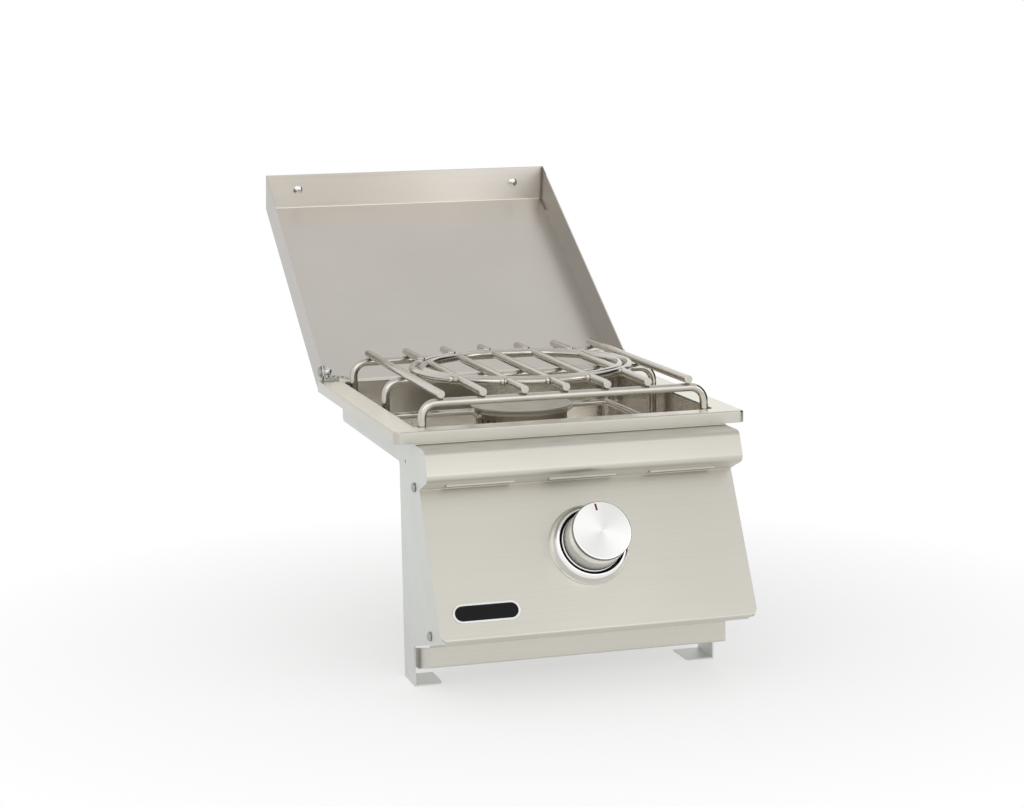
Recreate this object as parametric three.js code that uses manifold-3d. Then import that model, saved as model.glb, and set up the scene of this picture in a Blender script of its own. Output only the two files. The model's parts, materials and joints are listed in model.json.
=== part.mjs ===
import * as THREE from "three";
import { mergeVertices } from "three/addons/utils/BufferGeometryUtils.js";
import Module from "manifold-3d";

// Built in side burner: a rim that hangs in a countertop cut-out, with a shallow pan, one gas burner,
// a lift-off rod grate, a tray lid on two pivots and a sloped control panel with one knob.
// Units are millimetres. X is the width, Y runs from front to back and Z is up.
// The origin is the middle of the rim on the countertop plane, which is the underside of its lip.

// Stock and clearances
const seatGap = 0.3;
const turnGap = 0.5;
const cutOverrun = 20;
const rodDiameter = 7.94;
const rodSides = 8;
const holeSides = 12;
const bendSteps = 3;
const weldBite = 0.4;

// Rim frame
const rimWidth = 343;
const rimDepth = 360;
const rimHeight = 11.5;
const rimSheet = 1.2;
const rimCornerRadius = 7;
const rimEdgeRadius = 2;
const rimSideStrip = 24;
const rimFrontStrip = 20;
const rimRearStrip = 24;

// Pan
const panSheet = 1;
const panDepth = 38.5;
const panCornerRadius = 8;
const panEdgeRadius = 3;
const panFlange = 12;

// Side plates with their feet
const plateSheet = 1.5;
const armDrop = 28.5;
const armRearSetback = 30;
const armCornerRadius = 4;
const legRearSetback = 73;
const legWidth = 40;
const legLength = 238;
const notchDrop = 199;
const footReach = 27.5;
const footCornerRadius = 6;
const wireHoleRadius = 1.8;
const wireHoleSetback = 49;
const wireHoleDrop = 24.5;

// Control panel, seen from the side
const panelSheet = 1.2;
const panelOverhang = 1.7;
const upstandHeight = 8;
const noseGap = 1.5;
const noseTopReach = 33;
const noseFrontReach = 44;
const noseDrop = 28;
const noseRadius = 7;
const waistReach = 11;
const waistDrop = 41;
const waistRadius = 0.8;
const panelTilt = THREE.MathUtils.degToRad(28.4);
const panelLength = 145;
const hemLength = 9;
const hemRadius = 2.5;
const panelCornerRadius = 9;
const slotHeight = 3;
const slotLand = 33.5;
const slotMargin = 21.75;
const slotCount = 3;
const slotSetback = 3.4;

// Lower valance
const valanceSheet = 1.2;
const valanceInset = 2.9;
const valanceFrontReach = 11.5;
const valanceDrop = 209.3;
const valanceDepth = 49.5;
const valanceReturn = 36.5;
const valanceRadius = 1.8;

// Side screws
const sideScrewHeadRadius = 4.6;
const sideScrewHeadHeight = 3.2;
const sideScrewRadius = 2;
const sideScrewLength = 9;
const upperScrewReach = -14;
const upperScrewDrop = 43.2;
const lowerScrewReach = 34;
const lowerScrewDrop = 173;
const screwMargin = 7;

// Lid, closed lengths measured from its pivot
const lidSheet = 1.2;
const lidInset = 4;
const lidOpenAngle = THREE.MathUtils.degToRad(32);
const pivotSetback = 7;
const pivotRise = 9.5;
const lidFrontInset = 4.5;
const lidPanelRise = 29;
const lidFlangeDrop = 8;
const lidFrontRun = 15;
const lidRearLength = 9;
const lidFoldRadius = 2.4;
const lidHeelLength = 9;
const earSteps = 8;

// Lid handle
const handleDiameter = 13;
const handleOverhang = 20;
const handleStandoff = 30;
const handlePostRadius = 6;
const handleBoltInset = 37.5;
const handleBoltDrop = 22;
const handleBoltRadius = 2.5;
const handleBoltHeadRadius = 5.4;
const handleBoltHeadHeight = 2.6;
const handleBoltDepth = 12;
const handleEdge = 1.5;

// Lid hinges
const bracketSheet = 2;
const bracketDepth = 15;
const bracketFoot = 14;
const bracketHeadRadius = 7;
const pivotRadius = 2.5;
const pivotHeadRadius = 5;
const pivotHeadHeight = 3;
const pivotWasherRadius = 6.6;
const pivotWasherThickness = 0.8;
const pivotNutRadius = 4.6;
const pivotNutLength = 7;
const anchorRadius = 2.2;
const anchorHeight = 2.4;
const anchorForward = 6;
const anchorDrop = 4.5;

// Match holder and its chain
const linkWire = 1.2;
const linkWidth = 4.2;
const linkLength = 6.8;
const linkSides = 4;
const linkSteps = 6;
const chainHangLength = 11.5;
const holderRadius = 3.2;
const holderBore = 2;
const holderLength = 18;

// Grate
const barCount = 7;
const barInset = 3.75;
const sideBarInset = 17.5;
const grateSetback = 4;
const ringClearance = 5.5;
const ringPitch = 9.9;
const ringSteps = 44;
const supportRise = 21.4;
const supportInset = 8.5;
const supportBend = 14;
const supportMargin = 10;
const supportSides = 8;
const supportNames = ["front", "middle", "rear"];

// Burner
const burnerSetback = 3;
const capRadius = 51;
const capTop = 4;
const capEdge = 1.4;
const capFlareDrop = 6;
const capSpigot = 4;
const drumRadius = 46;
const drumWall = 3;
const neckRadius = 14;
const neckBore = 10.6;
const neckDrop = 7;
const portCount = 32;
const portWidth = 2.2;
const portHeight = 8;
const portDrop = 6;
const roundSteps = 36;

// Burner braces and their rail
const braceDiameter = 6.35;
const braceTop = 2.6;
const braceJoggleRun = 5.4;
const braceBend = 4.4;
const railInset = 48;
const railBehind = 4;

// Igniter electrode
const electrodeAngle = THREE.MathUtils.degToRad(48);
const electrodeDistance = 59;
const insulatorRadius = 3.6;
const insulatorTop = -9;
const electrodeWire = 1.8;
const electrodeRise = 7;
const electrodeReach = 6;
const bracketPlate = 1.5;
const bracketWidth = 14;
const bracketLength = 22;

// Knob, bezel and gas valve, measured from the panel's face
const knobDrop = 64.7;
const knobRadius = 27.9;
const knobSkirtRadius = 29.5;
const knobSkirtHeight = 2.5;
const knobBase = 9;
const knobTop = 46.8;
const knobEdge = 1.4;
const knobWall = 3.5;
const knobHubRadius = 8;
const knobHubBase = 5;
const knobSocketTop = 28;
const indicatorWidth = 1.8;
const indicatorLength = 6.4;
const indicatorDepth = 0.9;
const indicatorInset = 0.8;
const indicatorTurn = THREE.MathUtils.degToRad(6);
const bezelRadius = 38.2;
const bezelStepRadius = 36;
const bezelTopRadius = 34;
const bezelBore = 32.2;
const bezelHeight = 13;
const bezelFlange = 3.2;
const bezelFloor = 3;
const bezelHole = 9;
const stemRadius = 4;
const stemTail = 38;
const stemHole = 10;
const valveFlangeWidth = 44;
const valveFlangeHeight = 24;
const valveFlange = 4;
const valveNeckRadius = 9;
const valveNeckLength = 12.5;
const valveWidth = 30;
const valveHeight = 26;
const valveLength = 32;
const valveCorner = 4;
const plugRadius = 9;
const plugTop = 26;
const plugLength = 20;
const plugSocket = 16.5;
const valveCapThickness = 4;
const valveScrewPitch = 28;
const valveScrewRadius = 2;
const valveScrewHeadRadius = 4;
const valveScrewHead = 2;
const valveScrewLength = 9;
const valveScrewSink = 1;

// Gas path
const outletDepth = 36;
const orificeRadius = 6;
const orificeTipRadius = 3.5;
const orificeBore = 1;
const orificeBase = 5;
const orificeLength = 15;
const mixerRadius = 10;
const mixerWall = 1.2;
const mixerStart = 21;
const mixerDrop = 46;
const mixerBend = 22;
const mixerSides = 12;
const shutterWall = 1.2;
const shutterLength = 14;
const shutterOffset = 3;
const inletRadius = 5;
const inletBore = 3.2;
const inletReach = 48;
const inletRun = 56;
const inletBend = 16;
const inletDepth = 34;
const inletNutRadius = 10;
const inletNutLength = 14;
const inletTailRadius = 7;
const inletTailLength = 12;

// Badge
const badgeLength = 63;
const badgeHeight = 17.6;
const badgeRim = 1.6;
const badgeThickness = 2.2;
const badgePlate = 1.3;
const badgeInset = 45.7;
const badgeDrop = 119.8;

// Places that several pieces share
const rimFront = -rimDepth / 2;
const rimRear = rimDepth / 2;
const openingWidth = rimWidth - 2 * rimSideStrip;
const openingFront = rimFront + rimFrontStrip;
const openingRear = rimRear - rimRearStrip;
const openingDepth = openingRear - openingFront;
const openingMiddle = (openingFront + openingRear) / 2;
const panFlangeTop = rimHeight - rimSheet - seatGap;
const panFloor = rimHeight - panDepth;
const plateTop = panFlangeTop - panSheet - seatGap;
const plateInner = openingWidth / 2 + panSheet + seatGap;
const plateOuter = plateInner + plateSheet;
const panelWidth = 2 * (plateOuter + panelOverhang);
const lidWidth = rimWidth - 2 * lidInset;
const handleBoltPitch = lidWidth - 2 * handleBoltInset;
const burnerMiddle = openingMiddle - burnerSetback;
const grateMiddle = openingMiddle - grateSetback;
const supportHalfSpan = openingWidth / 2 - supportInset;
const supportZ = rimHeight + supportRise;
const barZ = supportZ + rodDiameter + seatGap;
const pivotY = rimRear - pivotSetback;
const pivotZ = rimHeight + pivotRise;
const lidFrontLength = rimDepth - pivotSetback - lidFrontRun - lidFrontInset;
const lidTurn = Math.PI - lidOpenAngle;
const lidFlangeSlope = Math.atan2(lidFrontRun, lidPanelRise + lidFlangeDrop);

const wasm = await Module();
wasm.setup();

// Closed meshes and solids

function toSolid(geometry) {
  const bare = geometry.index ? geometry.toNonIndexed() : geometry.clone();
  bare.deleteAttribute("normal");
  bare.deleteAttribute("uv");
  const merged = mergeVertices(bare);
  const corners = merged.index.array;
  const triangles = [];
  for (let i = 0; i < corners.length; i += 3) {
    const [a, b, c] = [corners[i], corners[i + 1], corners[i + 2]];
    if (a !== b && b !== c && c !== a) triangles.push(a, b, c);
  }
  const triVerts = new Uint32Array(triangles);
  const vertProperties = merged.attributes.position.array;
  return new wasm.Manifold(new wasm.Mesh({ numProp: 3, vertProperties, triVerts }));
}

function toGeometry(solid) {
  const mesh = solid.getMesh();
  const geometry = new THREE.BufferGeometry();
  geometry.setAttribute("position", new THREE.BufferAttribute(mesh.vertProperties, 3));
  geometry.setIndex(new THREE.BufferAttribute(mesh.triVerts, 1));
  const faceted = geometry.toNonIndexed();
  faceted.computeVertexNormals();
  return faceted;
}

function joined(solids) {
  return solids.reduce((whole, solid) => whole.add(solid));
}

function cutBy(solid, tools) {
  return tools.reduce((rest, tool) => rest.subtract(tool), solid);
}

// Shapes and the solids made from them

function polygon(points) {
  return new THREE.Shape(points.map(([x, y]) => new THREE.Vector2(x, y)));
}

function roundedRect(width, depth, radius, middleX, middleY) {
  const shape = new THREE.Shape();
  const [x, y] = [middleX - width / 2, middleY - depth / 2];
  shape.moveTo(x + radius, y);
  shape.lineTo(x + width - radius, y);
  shape.absarc(x + width - radius, y + radius, radius, -Math.PI / 2, 0);
  shape.lineTo(x + width, y + depth - radius);
  shape.absarc(x + width - radius, y + depth - radius, radius, 0, Math.PI / 2);
  shape.lineTo(x + radius, y + depth);
  shape.absarc(x + radius, y + depth - radius, radius, Math.PI / 2, Math.PI);
  shape.lineTo(x, y + radius);
  shape.absarc(x + radius, y + radius, radius, Math.PI, 1.5 * Math.PI);
  return shape;
}

function upright(shape, low, high) {
  const settings = { depth: high - low, bevelEnabled: false, curveSegments: bendSteps };
  return toSolid(new THREE.ExtrudeGeometry(shape, settings).translate(0, 0, low));
}

// A block on a rounded plan whose top and bottom edges are rounded too.
function softBlock(width, depth, corner, edge, low, high, middleY) {
  const plan = roundedRect(width - 2 * edge, depth - 2 * edge, corner - edge, 0, middleY);
  const settings = {
    depth: high - low - 2 * edge,
    bevelThickness: edge,
    bevelSize: edge,
    bevelSegments: 2,
    curveSegments: bendSteps,
  };
  return toSolid(new THREE.ExtrudeGeometry(plan, settings).translate(0, 0, low + edge));
}

// An outline drawn in Y and Z, carried from one X to another.
const sideToWorld = new THREE.Matrix4().makeBasis(
  new THREE.Vector3(0, 1, 0),
  new THREE.Vector3(0, 0, 1),
  new THREE.Vector3(1, 0, 0),
);

function sideways(shape, left, right) {
  const settings = { depth: right - left, bevelEnabled: false, curveSegments: bendSteps };
  const geometry = new THREE.ExtrudeGeometry(shape, settings).translate(0, 0, left);
  return toSolid(geometry.applyMatrix4(sideToWorld));
}

function block(low, high) {
  const size = high.map((value, axis) => value - low[axis]);
  const middle = high.map((value, axis) => (value + low[axis]) / 2);
  return toSolid(new THREE.BoxGeometry(...size).translate(...middle));
}

function cylinder(radius, low, high, sides = holeSides) {
  const geometry = new THREE.CylinderGeometry(radius, radius, high - low, sides);
  return geometry.rotateX(Math.PI / 2).translate(0, 0, (low + high) / 2);
}

function cylinderX(radius, left, right, y, z, sides = holeSides) {
  return toSolid(cylinder(radius, left, right, sides).rotateY(Math.PI / 2).translate(0, y, z));
}

function cylinderY(radius, front, back, x, z, sides = holeSides) {
  const turned = cylinder(radius, front, back, sides).rotateX(-Math.PI / 2);
  return toSolid(turned.translate(x, 0, z));
}

function cylinderZ(radius, low, high, x = 0, y = 0, sides = holeSides) {
  return toSolid(cylinder(radius, low, high, sides).translate(x, y, 0));
}

// A closed profile of radius and height, turned about the Z axis.
function turned(profile, steps = roundSteps) {
  const points = profile.map(([r, z]) => new THREE.Vector2(r, z));
  if (THREE.ShapeUtils.area(points) < 0) points.reverse();
  points.push(points[0].clone());
  return toSolid(new THREE.LatheGeometry(points, steps).rotateX(Math.PI / 2));
}

// A sheet bent along a path of [y, z, bend radius] corners. The path is the sheet's outer face, and a
// positive offset lies to the left of it.

function leftOf(direction) {
  return new THREE.Vector2(-direction.y, direction.x);
}

function sheetEdge(path, offset) {
  const corners = path.map(([y, z]) => new THREE.Vector2(y, z));
  const edge = [];
  corners.forEach((corner, i) => {
    const before = corners[i - 1];
    const after = corners[i + 1];
    if (!before || !after) {
      const along = after ? after.clone().sub(corner) : corner.clone().sub(before);
      edge.push(corner.clone().addScaledVector(leftOf(along.normalize()), offset));
      return;
    }
    const coming = corner.clone().sub(before).normalize();
    const going = after.clone().sub(corner).normalize();
    const turn = Math.atan2(coming.cross(going), coming.dot(going));
    const side = Math.sign(turn);
    const bend = path[i][2];
    const reach = bend * Math.tan(Math.abs(turn) / 2);
    const start = corner.clone().addScaledVector(coming, -reach);
    const centre = start.addScaledVector(leftOf(coming), side * bend);
    for (let k = 0; k <= bendSteps; k += 1) {
      const spoke = leftOf(coming).rotateAround(new THREE.Vector2(), (turn * k) / bendSteps);
      edge.push(centre.clone().addScaledVector(spoke, side * (side * offset - bend)));
    }
  });
  return edge;
}

function bentSheet(path, thickness) {
  return new THREE.Shape([...sheetEdge(path, 0), ...sheetEdge(path, thickness).reverse()]);
}

// Rod or tube along straight runs joined by round bends.

class BentLine extends THREE.Curve {
  constructor(stations, headings) {
    super();
    this.stations = stations;
    this.headings = headings;
  }

  getUtoTmapping(u) {
    return u;
  }

  between(list, t, target) {
    const place = t * (list.length - 1);
    const index = Math.min(Math.floor(place), list.length - 2);
    return target.copy(list[index]).lerp(list[index + 1], place - index);
  }

  getPoint(t, target = new THREE.Vector3()) {
    return this.between(this.stations, t, target);
  }

  getTangent(t, target = new THREE.Vector3()) {
    return this.between(this.headings, t, target).normalize();
  }
}

function bentLine(corners, bendRadius) {
  const stations = [corners[0]];
  const headings = [corners[1].clone().sub(corners[0]).normalize()];
  for (let i = 1; i < corners.length - 1; i += 1) {
    const coming = corners[i].clone().sub(corners[i - 1]).normalize();
    const going = corners[i + 1].clone().sub(corners[i]).normalize();
    const turn = coming.angleTo(going);
    const axis = coming.clone().cross(going).normalize();
    const inward = axis.clone().cross(coming);
    const start = corners[i].clone().addScaledVector(coming, -bendRadius * Math.tan(turn / 2));
    const centre = start.clone().addScaledVector(inward, bendRadius);
    for (let k = 0; k <= bendSteps; k += 1) {
      const angle = (turn * k) / bendSteps;
      const spoke = inward.clone().multiplyScalar(-bendRadius).applyAxisAngle(axis, angle);
      stations.push(centre.clone().add(spoke));
      headings.push(coming.clone().applyAxisAngle(axis, angle));
    }
  }
  stations.push(corners.at(-1));
  headings.push(corners.at(-1).clone().sub(corners.at(-2)).normalize());
  return new BentLine(stations, headings);
}

function roundPoints(radius, sides, middleX = 0, middleY = 0) {
  return Array.from({ length: sides }, (_, i) => {
    const angle = (2 * Math.PI * i) / sides;
    return [middleX + radius * Math.cos(angle), middleY + radius * Math.sin(angle)];
  });
}

function bentRod(corners, bendRadius, radius, sides) {
  const line = bentLine(corners, bendRadius);
  const settings = { extrudePath: line, steps: line.stations.length - 1 };
  return toSolid(new THREE.ExtrudeGeometry(polygon(roundPoints(radius, sides)), settings));
}

function bentTube(corners, bendRadius, radius, bore, sides) {
  const ends = corners.map((corner) => corner.clone());
  const first = corners[0].clone().sub(corners[1]).normalize();
  const last = corners.at(-1).clone().sub(corners.at(-2)).normalize();
  ends[0].addScaledVector(first, cutOverrun);
  ends.at(-1).addScaledVector(last, cutOverrun);
  return bentRod(corners, bendRadius, radius, sides).subtract(bentRod(ends, bendRadius, bore, sides));
}

// Materials

function metal(color, roughness, metalness = 1) {
  return new THREE.MeshStandardMaterial({ color, roughness, metalness });
}

const brushedSteel = metal(0xc9c6be, 0.34);
const plateSteel = metal(0xc8cbc9, 0.42);
const panSteel = metal(0x8f8a83, 0.38);
const rodSteel = metal(0xb9b4aa, 0.3);
const chrome = metal(0xe2e2e2, 0.1);
const zincSteel = metal(0xa9aba8, 0.4);
const brass = metal(0xb89a5a, 0.35);
const castAluminium = metal(0x9b9c9d, 0.55);
const blackEnamel = metal(0x0c0c0d, 0.3, 0);
const ceramicWhite = metal(0xe9e5da, 0.35, 0);
const redPaint = metal(0x7c1519, 0.45, 0);

function piece(name, solid, material) {
  const mesh = new THREE.Mesh(toGeometry(solid), material);
  mesh.name = name;
  return mesh;
}

// Rim frame: a strip round the opening with a lip turned down to the countertop.

function rimFrame() {
  const outer = softBlock(
    rimWidth, rimDepth, rimCornerRadius, rimEdgeRadius, -cutOverrun, rimHeight, 0,
  );
  const innerWidth = rimWidth - 2 * rimSheet;
  const innerDepth = rimDepth - 2 * rimSheet;
  const innerEdge = rimEdgeRadius - rimSheet;
  const inner = softBlock(
    innerWidth, innerDepth, rimCornerRadius - rimSheet, innerEdge,
    -2 * cutOverrun, rimHeight - rimSheet, 0,
  );
  const opening = roundedRect(openingWidth, openingDepth, panCornerRadius, 0, openingMiddle);
  const below = block([-rimWidth, -rimDepth, -3 * cutOverrun], [rimWidth, rimDepth, 0]);
  const tools = [inner, upright(opening, -cutOverrun, rimHeight + cutOverrun), below];
  return piece("rim_frame", cutBy(outer, tools), brushedSteel);
}

// Pan: a pressed tray whose flange lies under the rim strip.

function burnerPan() {
  const outerCorner = panCornerRadius + panSheet;
  const tray = softBlock(
    openingWidth + 2 * panSheet, openingDepth + 2 * panSheet, outerCorner,
    panEdgeRadius + panSheet, panFloor - panSheet, rimHeight + cutOverrun, openingMiddle,
  );
  const above = block(
    [-rimWidth, -rimDepth, panFlangeTop],
    [rimWidth, rimDepth, rimHeight + 2 * cutOverrun],
  );
  const flange = roundedRect(
    openingWidth + 2 * panFlange, openingDepth + 2 * panFlange, panCornerRadius + panFlange,
    0, openingMiddle,
  );
  const hollow = softBlock(
    openingWidth, openingDepth, panCornerRadius, panEdgeRadius,
    panFloor, rimHeight + 2 * cutOverrun, openingMiddle,
  );
  const neckHole = cylinderZ(
    neckRadius + turnGap, panFloor - cutOverrun, panFloor + cutOverrun, 0, burnerMiddle, roundSteps,
  );
  const shell = cutBy(tray, [above]).add(upright(flange, panFlangeTop - panSheet, panFlangeTop));
  return piece("burner_pan", cutBy(shell, [hollow, neckHole]), panSteel);
}

// The control panel's outline, from its upstand behind the rim lip down to the hem at its foot.

const upstandY = rimFront + rimSheet + seatGap;
const waist = [rimFront - waistReach, -waistDrop];
const panelFoot = [
  waist[0] - panelLength * Math.sin(panelTilt),
  waist[1] - panelLength * Math.cos(panelTilt),
];
const panelPath = [
  [upstandY, upstandHeight, 0],
  [upstandY, -noseGap, waistRadius],
  [rimFront - noseTopReach, -noseGap, noseRadius],
  [rimFront - noseFrontReach, -noseDrop, noseRadius],
  [...waist, waistRadius],
  [...panelFoot, hemRadius],
  [
    panelFoot[0] + hemLength * Math.cos(panelTilt),
    panelFoot[1] - hemLength * Math.sin(panelTilt),
    0,
  ],
];

// The pieces on the panel's face sit in a frame whose Z axis is the panel's outward normal.
const controls = new THREE.Group();
controls.position.set(
  0,
  waist[0] - knobDrop * Math.sin(panelTilt),
  waist[1] - knobDrop * Math.cos(panelTilt),
);
controls.rotation.x = Math.PI / 2 - panelTilt;
controls.updateMatrix();

function onControls(geometry) {
  return toSolid(geometry.applyMatrix4(controls.matrix));
}

function ventSlots() {
  const nose = panelPath[3];
  const run = new THREE.Vector2(waist[0] - nose[0], waist[1] - nose[1]).normalize();
  const middle = new THREE.Vector2(...waist).addScaledVector(run, -slotSetback);
  const lands = (slotCount - 1) * slotLand;
  const length = (panelWidth - 2 * slotMargin - lands) / slotCount;
  return Array.from({ length: slotCount }, (_, i) => {
    const x = (i - (slotCount - 1) / 2) * (length + slotLand);
    const slot = new THREE.BoxGeometry(length, slotHeight, 2 * noseRadius);
    slot.rotateX(Math.atan2(run.y, run.x));
    return toSolid(slot.translate(x, middle.x, middle.y));
  });
}

// What rounds off the panel's two lower corners, in the panel's own frame.
function panelCornerCuts() {
  const radius = panelCornerRadius;
  const foot = knobDrop - panelLength;
  return [-1, 1].map((side) => {
    const [x, y] = [side * (panelWidth / 2 - radius), foot + radius];
    const cut = new THREE.Shape();
    cut.moveTo(x, y - radius);
    cut.absarc(x, y, radius, -Math.PI / 2, side > 0 ? 0 : -Math.PI, side < 0);
    cut.lineTo(x + 2 * side * radius, y);
    cut.lineTo(x + 2 * side * radius, y - 2 * radius);
    cut.lineTo(x, y - 2 * radius);
    const settings = { depth: 2 * hemLength, bevelEnabled: false, curveSegments: bendSteps };
    const geometry = new THREE.ExtrudeGeometry(cut, settings);
    return onControls(geometry.translate(0, 0, -hemLength - panelSheet));
  });
}

// The panel's end wall, a plate inside each side plate that takes the side screws.
function panelEndWall(side) {
  const rear = openingFront - panSheet - seatGap;
  const skin = sheetEdge(panelPath, panelSheet / 2).slice(1 + bendSteps, -1);
  const outline = new THREE.Shape([
    ...skin,
    new THREE.Vector2(lowerScrewY + screwMargin, -lowerScrewDrop - screwMargin / 2),
    new THREE.Vector2(rear, -upperScrewDrop - 2 * screwMargin),
    new THREE.Vector2(rear, -noseGap - panelSheet / 2),
  ]);
  const outer = plateInner - seatGap;
  const [near, far] = [side * outer, side * (outer - panelSheet)];
  return sideways(outline, Math.min(near, far), Math.max(near, far));
}

const upperScrewY = rimFront - upperScrewReach;
const lowerScrewY = rimFront - lowerScrewReach;
const sideScrews = [
  ["upper", upperScrewY, -upperScrewDrop],
  ["lower", lowerScrewY, -lowerScrewDrop],
];

function sideScrewHoles() {
  const radius = sideScrewRadius + seatGap;
  return sideScrews.map(([, y, z]) => cylinderX(radius, -rimWidth, rimWidth, y, z));
}

function controlPanel() {
  const skin = sideways(bentSheet(panelPath, panelSheet), -panelWidth / 2, panelWidth / 2);
  const whole = joined([skin, panelEndWall(-1), panelEndWall(1)]);
  const stemOpening = onControls(cylinder(stemHole, -cutOverrun, cutOverrun));
  const screwOpenings = [-1, 1].map((side) => {
    const opening = cylinder(valveScrewRadius + seatGap, -cutOverrun, cutOverrun);
    return onControls(opening.translate((side * valveScrewPitch) / 2, 0, 0));
  });
  const tools = [
    ...ventSlots(), ...panelCornerCuts(), ...sideScrewHoles(), stemOpening, ...screwOpenings,
  ];
  return piece("control_panel", cutBy(whole, tools), brushedSteel);
}

// Side plates: a long arm beside the pan, a cheek behind the panel's edge and a leg with a foot.

const plateEdge = sheetEdge(panelPath, panelSheet + seatGap);
const cheekFoot = plateEdge.at(-1);
const legFront = rimFront + legRearSetback - legWidth;

function notchLine(y) {
  const share = (y - cheekFoot.x) / (legFront - cheekFoot.x);
  return cheekFoot.y + share * (-notchDrop - cheekFoot.y);
}

function plateOutline() {
  const legRear = rimFront + legRearSetback;
  const armRear = rimRear - armRearSetback;
  const shape = new THREE.Shape();
  shape.moveTo(armRear, plateTop);
  shape.lineTo(upstandY + panelSheet + seatGap, plateTop);
  plateEdge.slice(1).forEach((point) => shape.lineTo(point.x, point.y));
  shape.lineTo(legFront, -notchDrop);
  shape.lineTo(legFront, -legLength);
  shape.lineTo(legRear, -legLength);
  shape.lineTo(legRear, -armDrop - armCornerRadius);
  shape.absarc(
    legRear + armCornerRadius, -armDrop - armCornerRadius, armCornerRadius,
    Math.PI, Math.PI / 2, true,
  );
  shape.lineTo(armRear - armCornerRadius, -armDrop);
  shape.absarc(
    armRear - armCornerRadius, -armDrop + armCornerRadius, armCornerRadius, -Math.PI / 2, 0,
  );
  return shape;
}

function footOutline(side) {
  const legRear = rimFront + legRearSetback;
  const inner = side * (plateOuter - footReach);
  const outer = side * plateOuter;
  const radius = footCornerRadius;
  const corner = [inner + side * radius, legFront + radius];
  const shape = new THREE.Shape();
  shape.moveTo(outer, legRear);
  shape.lineTo(inner, legRear);
  shape.lineTo(inner, corner[1]);
  if (side > 0) shape.absarc(...corner, radius, Math.PI, 1.5 * Math.PI);
  else shape.absarc(...corner, radius, 0, -Math.PI / 2, true);
  shape.lineTo(outer, legFront);
  return shape;
}

function sidePlate(name, side) {
  const [near, far] = [side * plateInner, side * plateOuter];
  const plate = sideways(plateOutline(), Math.min(near, far), Math.max(near, far));
  const foot = upright(footOutline(side), -legLength, -legLength + plateSheet);
  const wireHole = cylinderX(
    wireHoleRadius, -rimWidth, rimWidth, rimFront + wireHoleSetback, -wireHoleDrop,
  );
  const whole = cutBy(plate.add(foot), [...sideScrewHoles(), wireHole]);
  return piece(name, whole, plateSteel);
}

function sideScrew(name, side, y, z) {
  const seat = plateOuter + seatGap;
  const head = turned([
    [0, seat],
    [sideScrewHeadRadius, seat],
    [sideScrewHeadRadius, seat + sideScrewHeadHeight / 3],
    [sideScrewHeadRadius * Math.SQRT1_2, seat + sideScrewHeadHeight * 0.8],
    [0, seat + sideScrewHeadHeight],
  ], holeSides);
  const shank = cylinderZ(sideScrewRadius, seat - sideScrewLength, seat + weldBite);
  const screw = piece(name, head.add(shank), zincSteel);
  screw.rotation.y = (side * Math.PI) / 2;
  screw.position.set(0, y, z);
  return screw;
}

// Lower valance: a folded sheet that closes the space below the panel, with turned back ends.

function lowerValance() {
  const front = rimFront - valanceFrontReach;
  const start = cheekFoot.x + seatGap / 2;
  const under = (y) => notchLine(y) - 2 * seatGap - valanceSheet;
  const slope = (notchLine(legFront) - notchLine(front)) / (legFront - front);
  const path = [
    [start, under(start), 0],
    [front, under(front), valanceRadius],
    [front, -valanceDrop, valanceRadius],
    [front + valanceDepth, -valanceDrop + slope * valanceDepth, 0],
  ];
  const half = plateInner - valanceInset;
  const skin = sideways(bentSheet(path, valanceSheet), -half, half);
  const bite = valanceSheet / 2;
  const endWall = polygon([
    [front + bite, under(front) - bite],
    [front + bite, -valanceDrop + bite],
    [front + valanceReturn, -valanceDrop + bite + slope * valanceReturn],
    [front + valanceReturn, under(front + valanceReturn)],
  ]);
  const walls = [
    sideways(endWall, -half, -half + valanceSheet),
    sideways(endWall, half - valanceSheet, half),
  ];
  return piece("lower_valance", joined([skin, ...walls]), brushedSteel);
}

// Grate: seven bars and a double ring welded flat, on three bent rods that stand in the pan.

const barPitch = (2 * (supportHalfSpan - sideBarInset)) / (barCount - 1);
const outerRingRadius = ((barCount - 1) / 2) * barPitch - rodDiameter - ringClearance;
const innerRingRadius = outerRingRadius - ringPitch;
const supportPitch = openingDepth / 2 - supportMargin;

function straightBar(x) {
  const half = openingDepth / 2 - barInset;
  return cylinderY(rodDiameter / 2, grateMiddle - half, grateMiddle + half, x, barZ, rodSides);
}

function rodRing(radius) {
  const section = roundPoints(rodDiameter / 2, rodSides, radius, 0);
  return turned(section, ringSteps).translate([0, grateMiddle, barZ]);
}

// Between the two rings the upper half of each bar is cut away, so that the rings' tops run on unbroken.
function grateTop() {
  const reach = (barCount - 1) / 2;
  const bars = [];
  for (let i = 1 - reach; i <= reach - 1; i += 1) bars.push(straightBar(i * barPitch));
  const [outer, inner] = [outerRingRadius, innerRingRadius].map((radius) => (
    cylinderZ(radius, barZ, barZ + rodDiameter, 0, grateMiddle, ringSteps)
  ));
  const runs = joined(bars).subtract(outer.subtract(inner));
  const rings = [rodRing(outerRingRadius), rodRing(innerRingRadius)];
  return [
    piece("grate_ring_and_bars", joined([...rings, runs]), rodSteel),
    piece("grate_side_bar_left", straightBar(-reach * barPitch), rodSteel),
    piece("grate_side_bar_right", straightBar(reach * barPitch), rodSteel),
  ];
}

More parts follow.
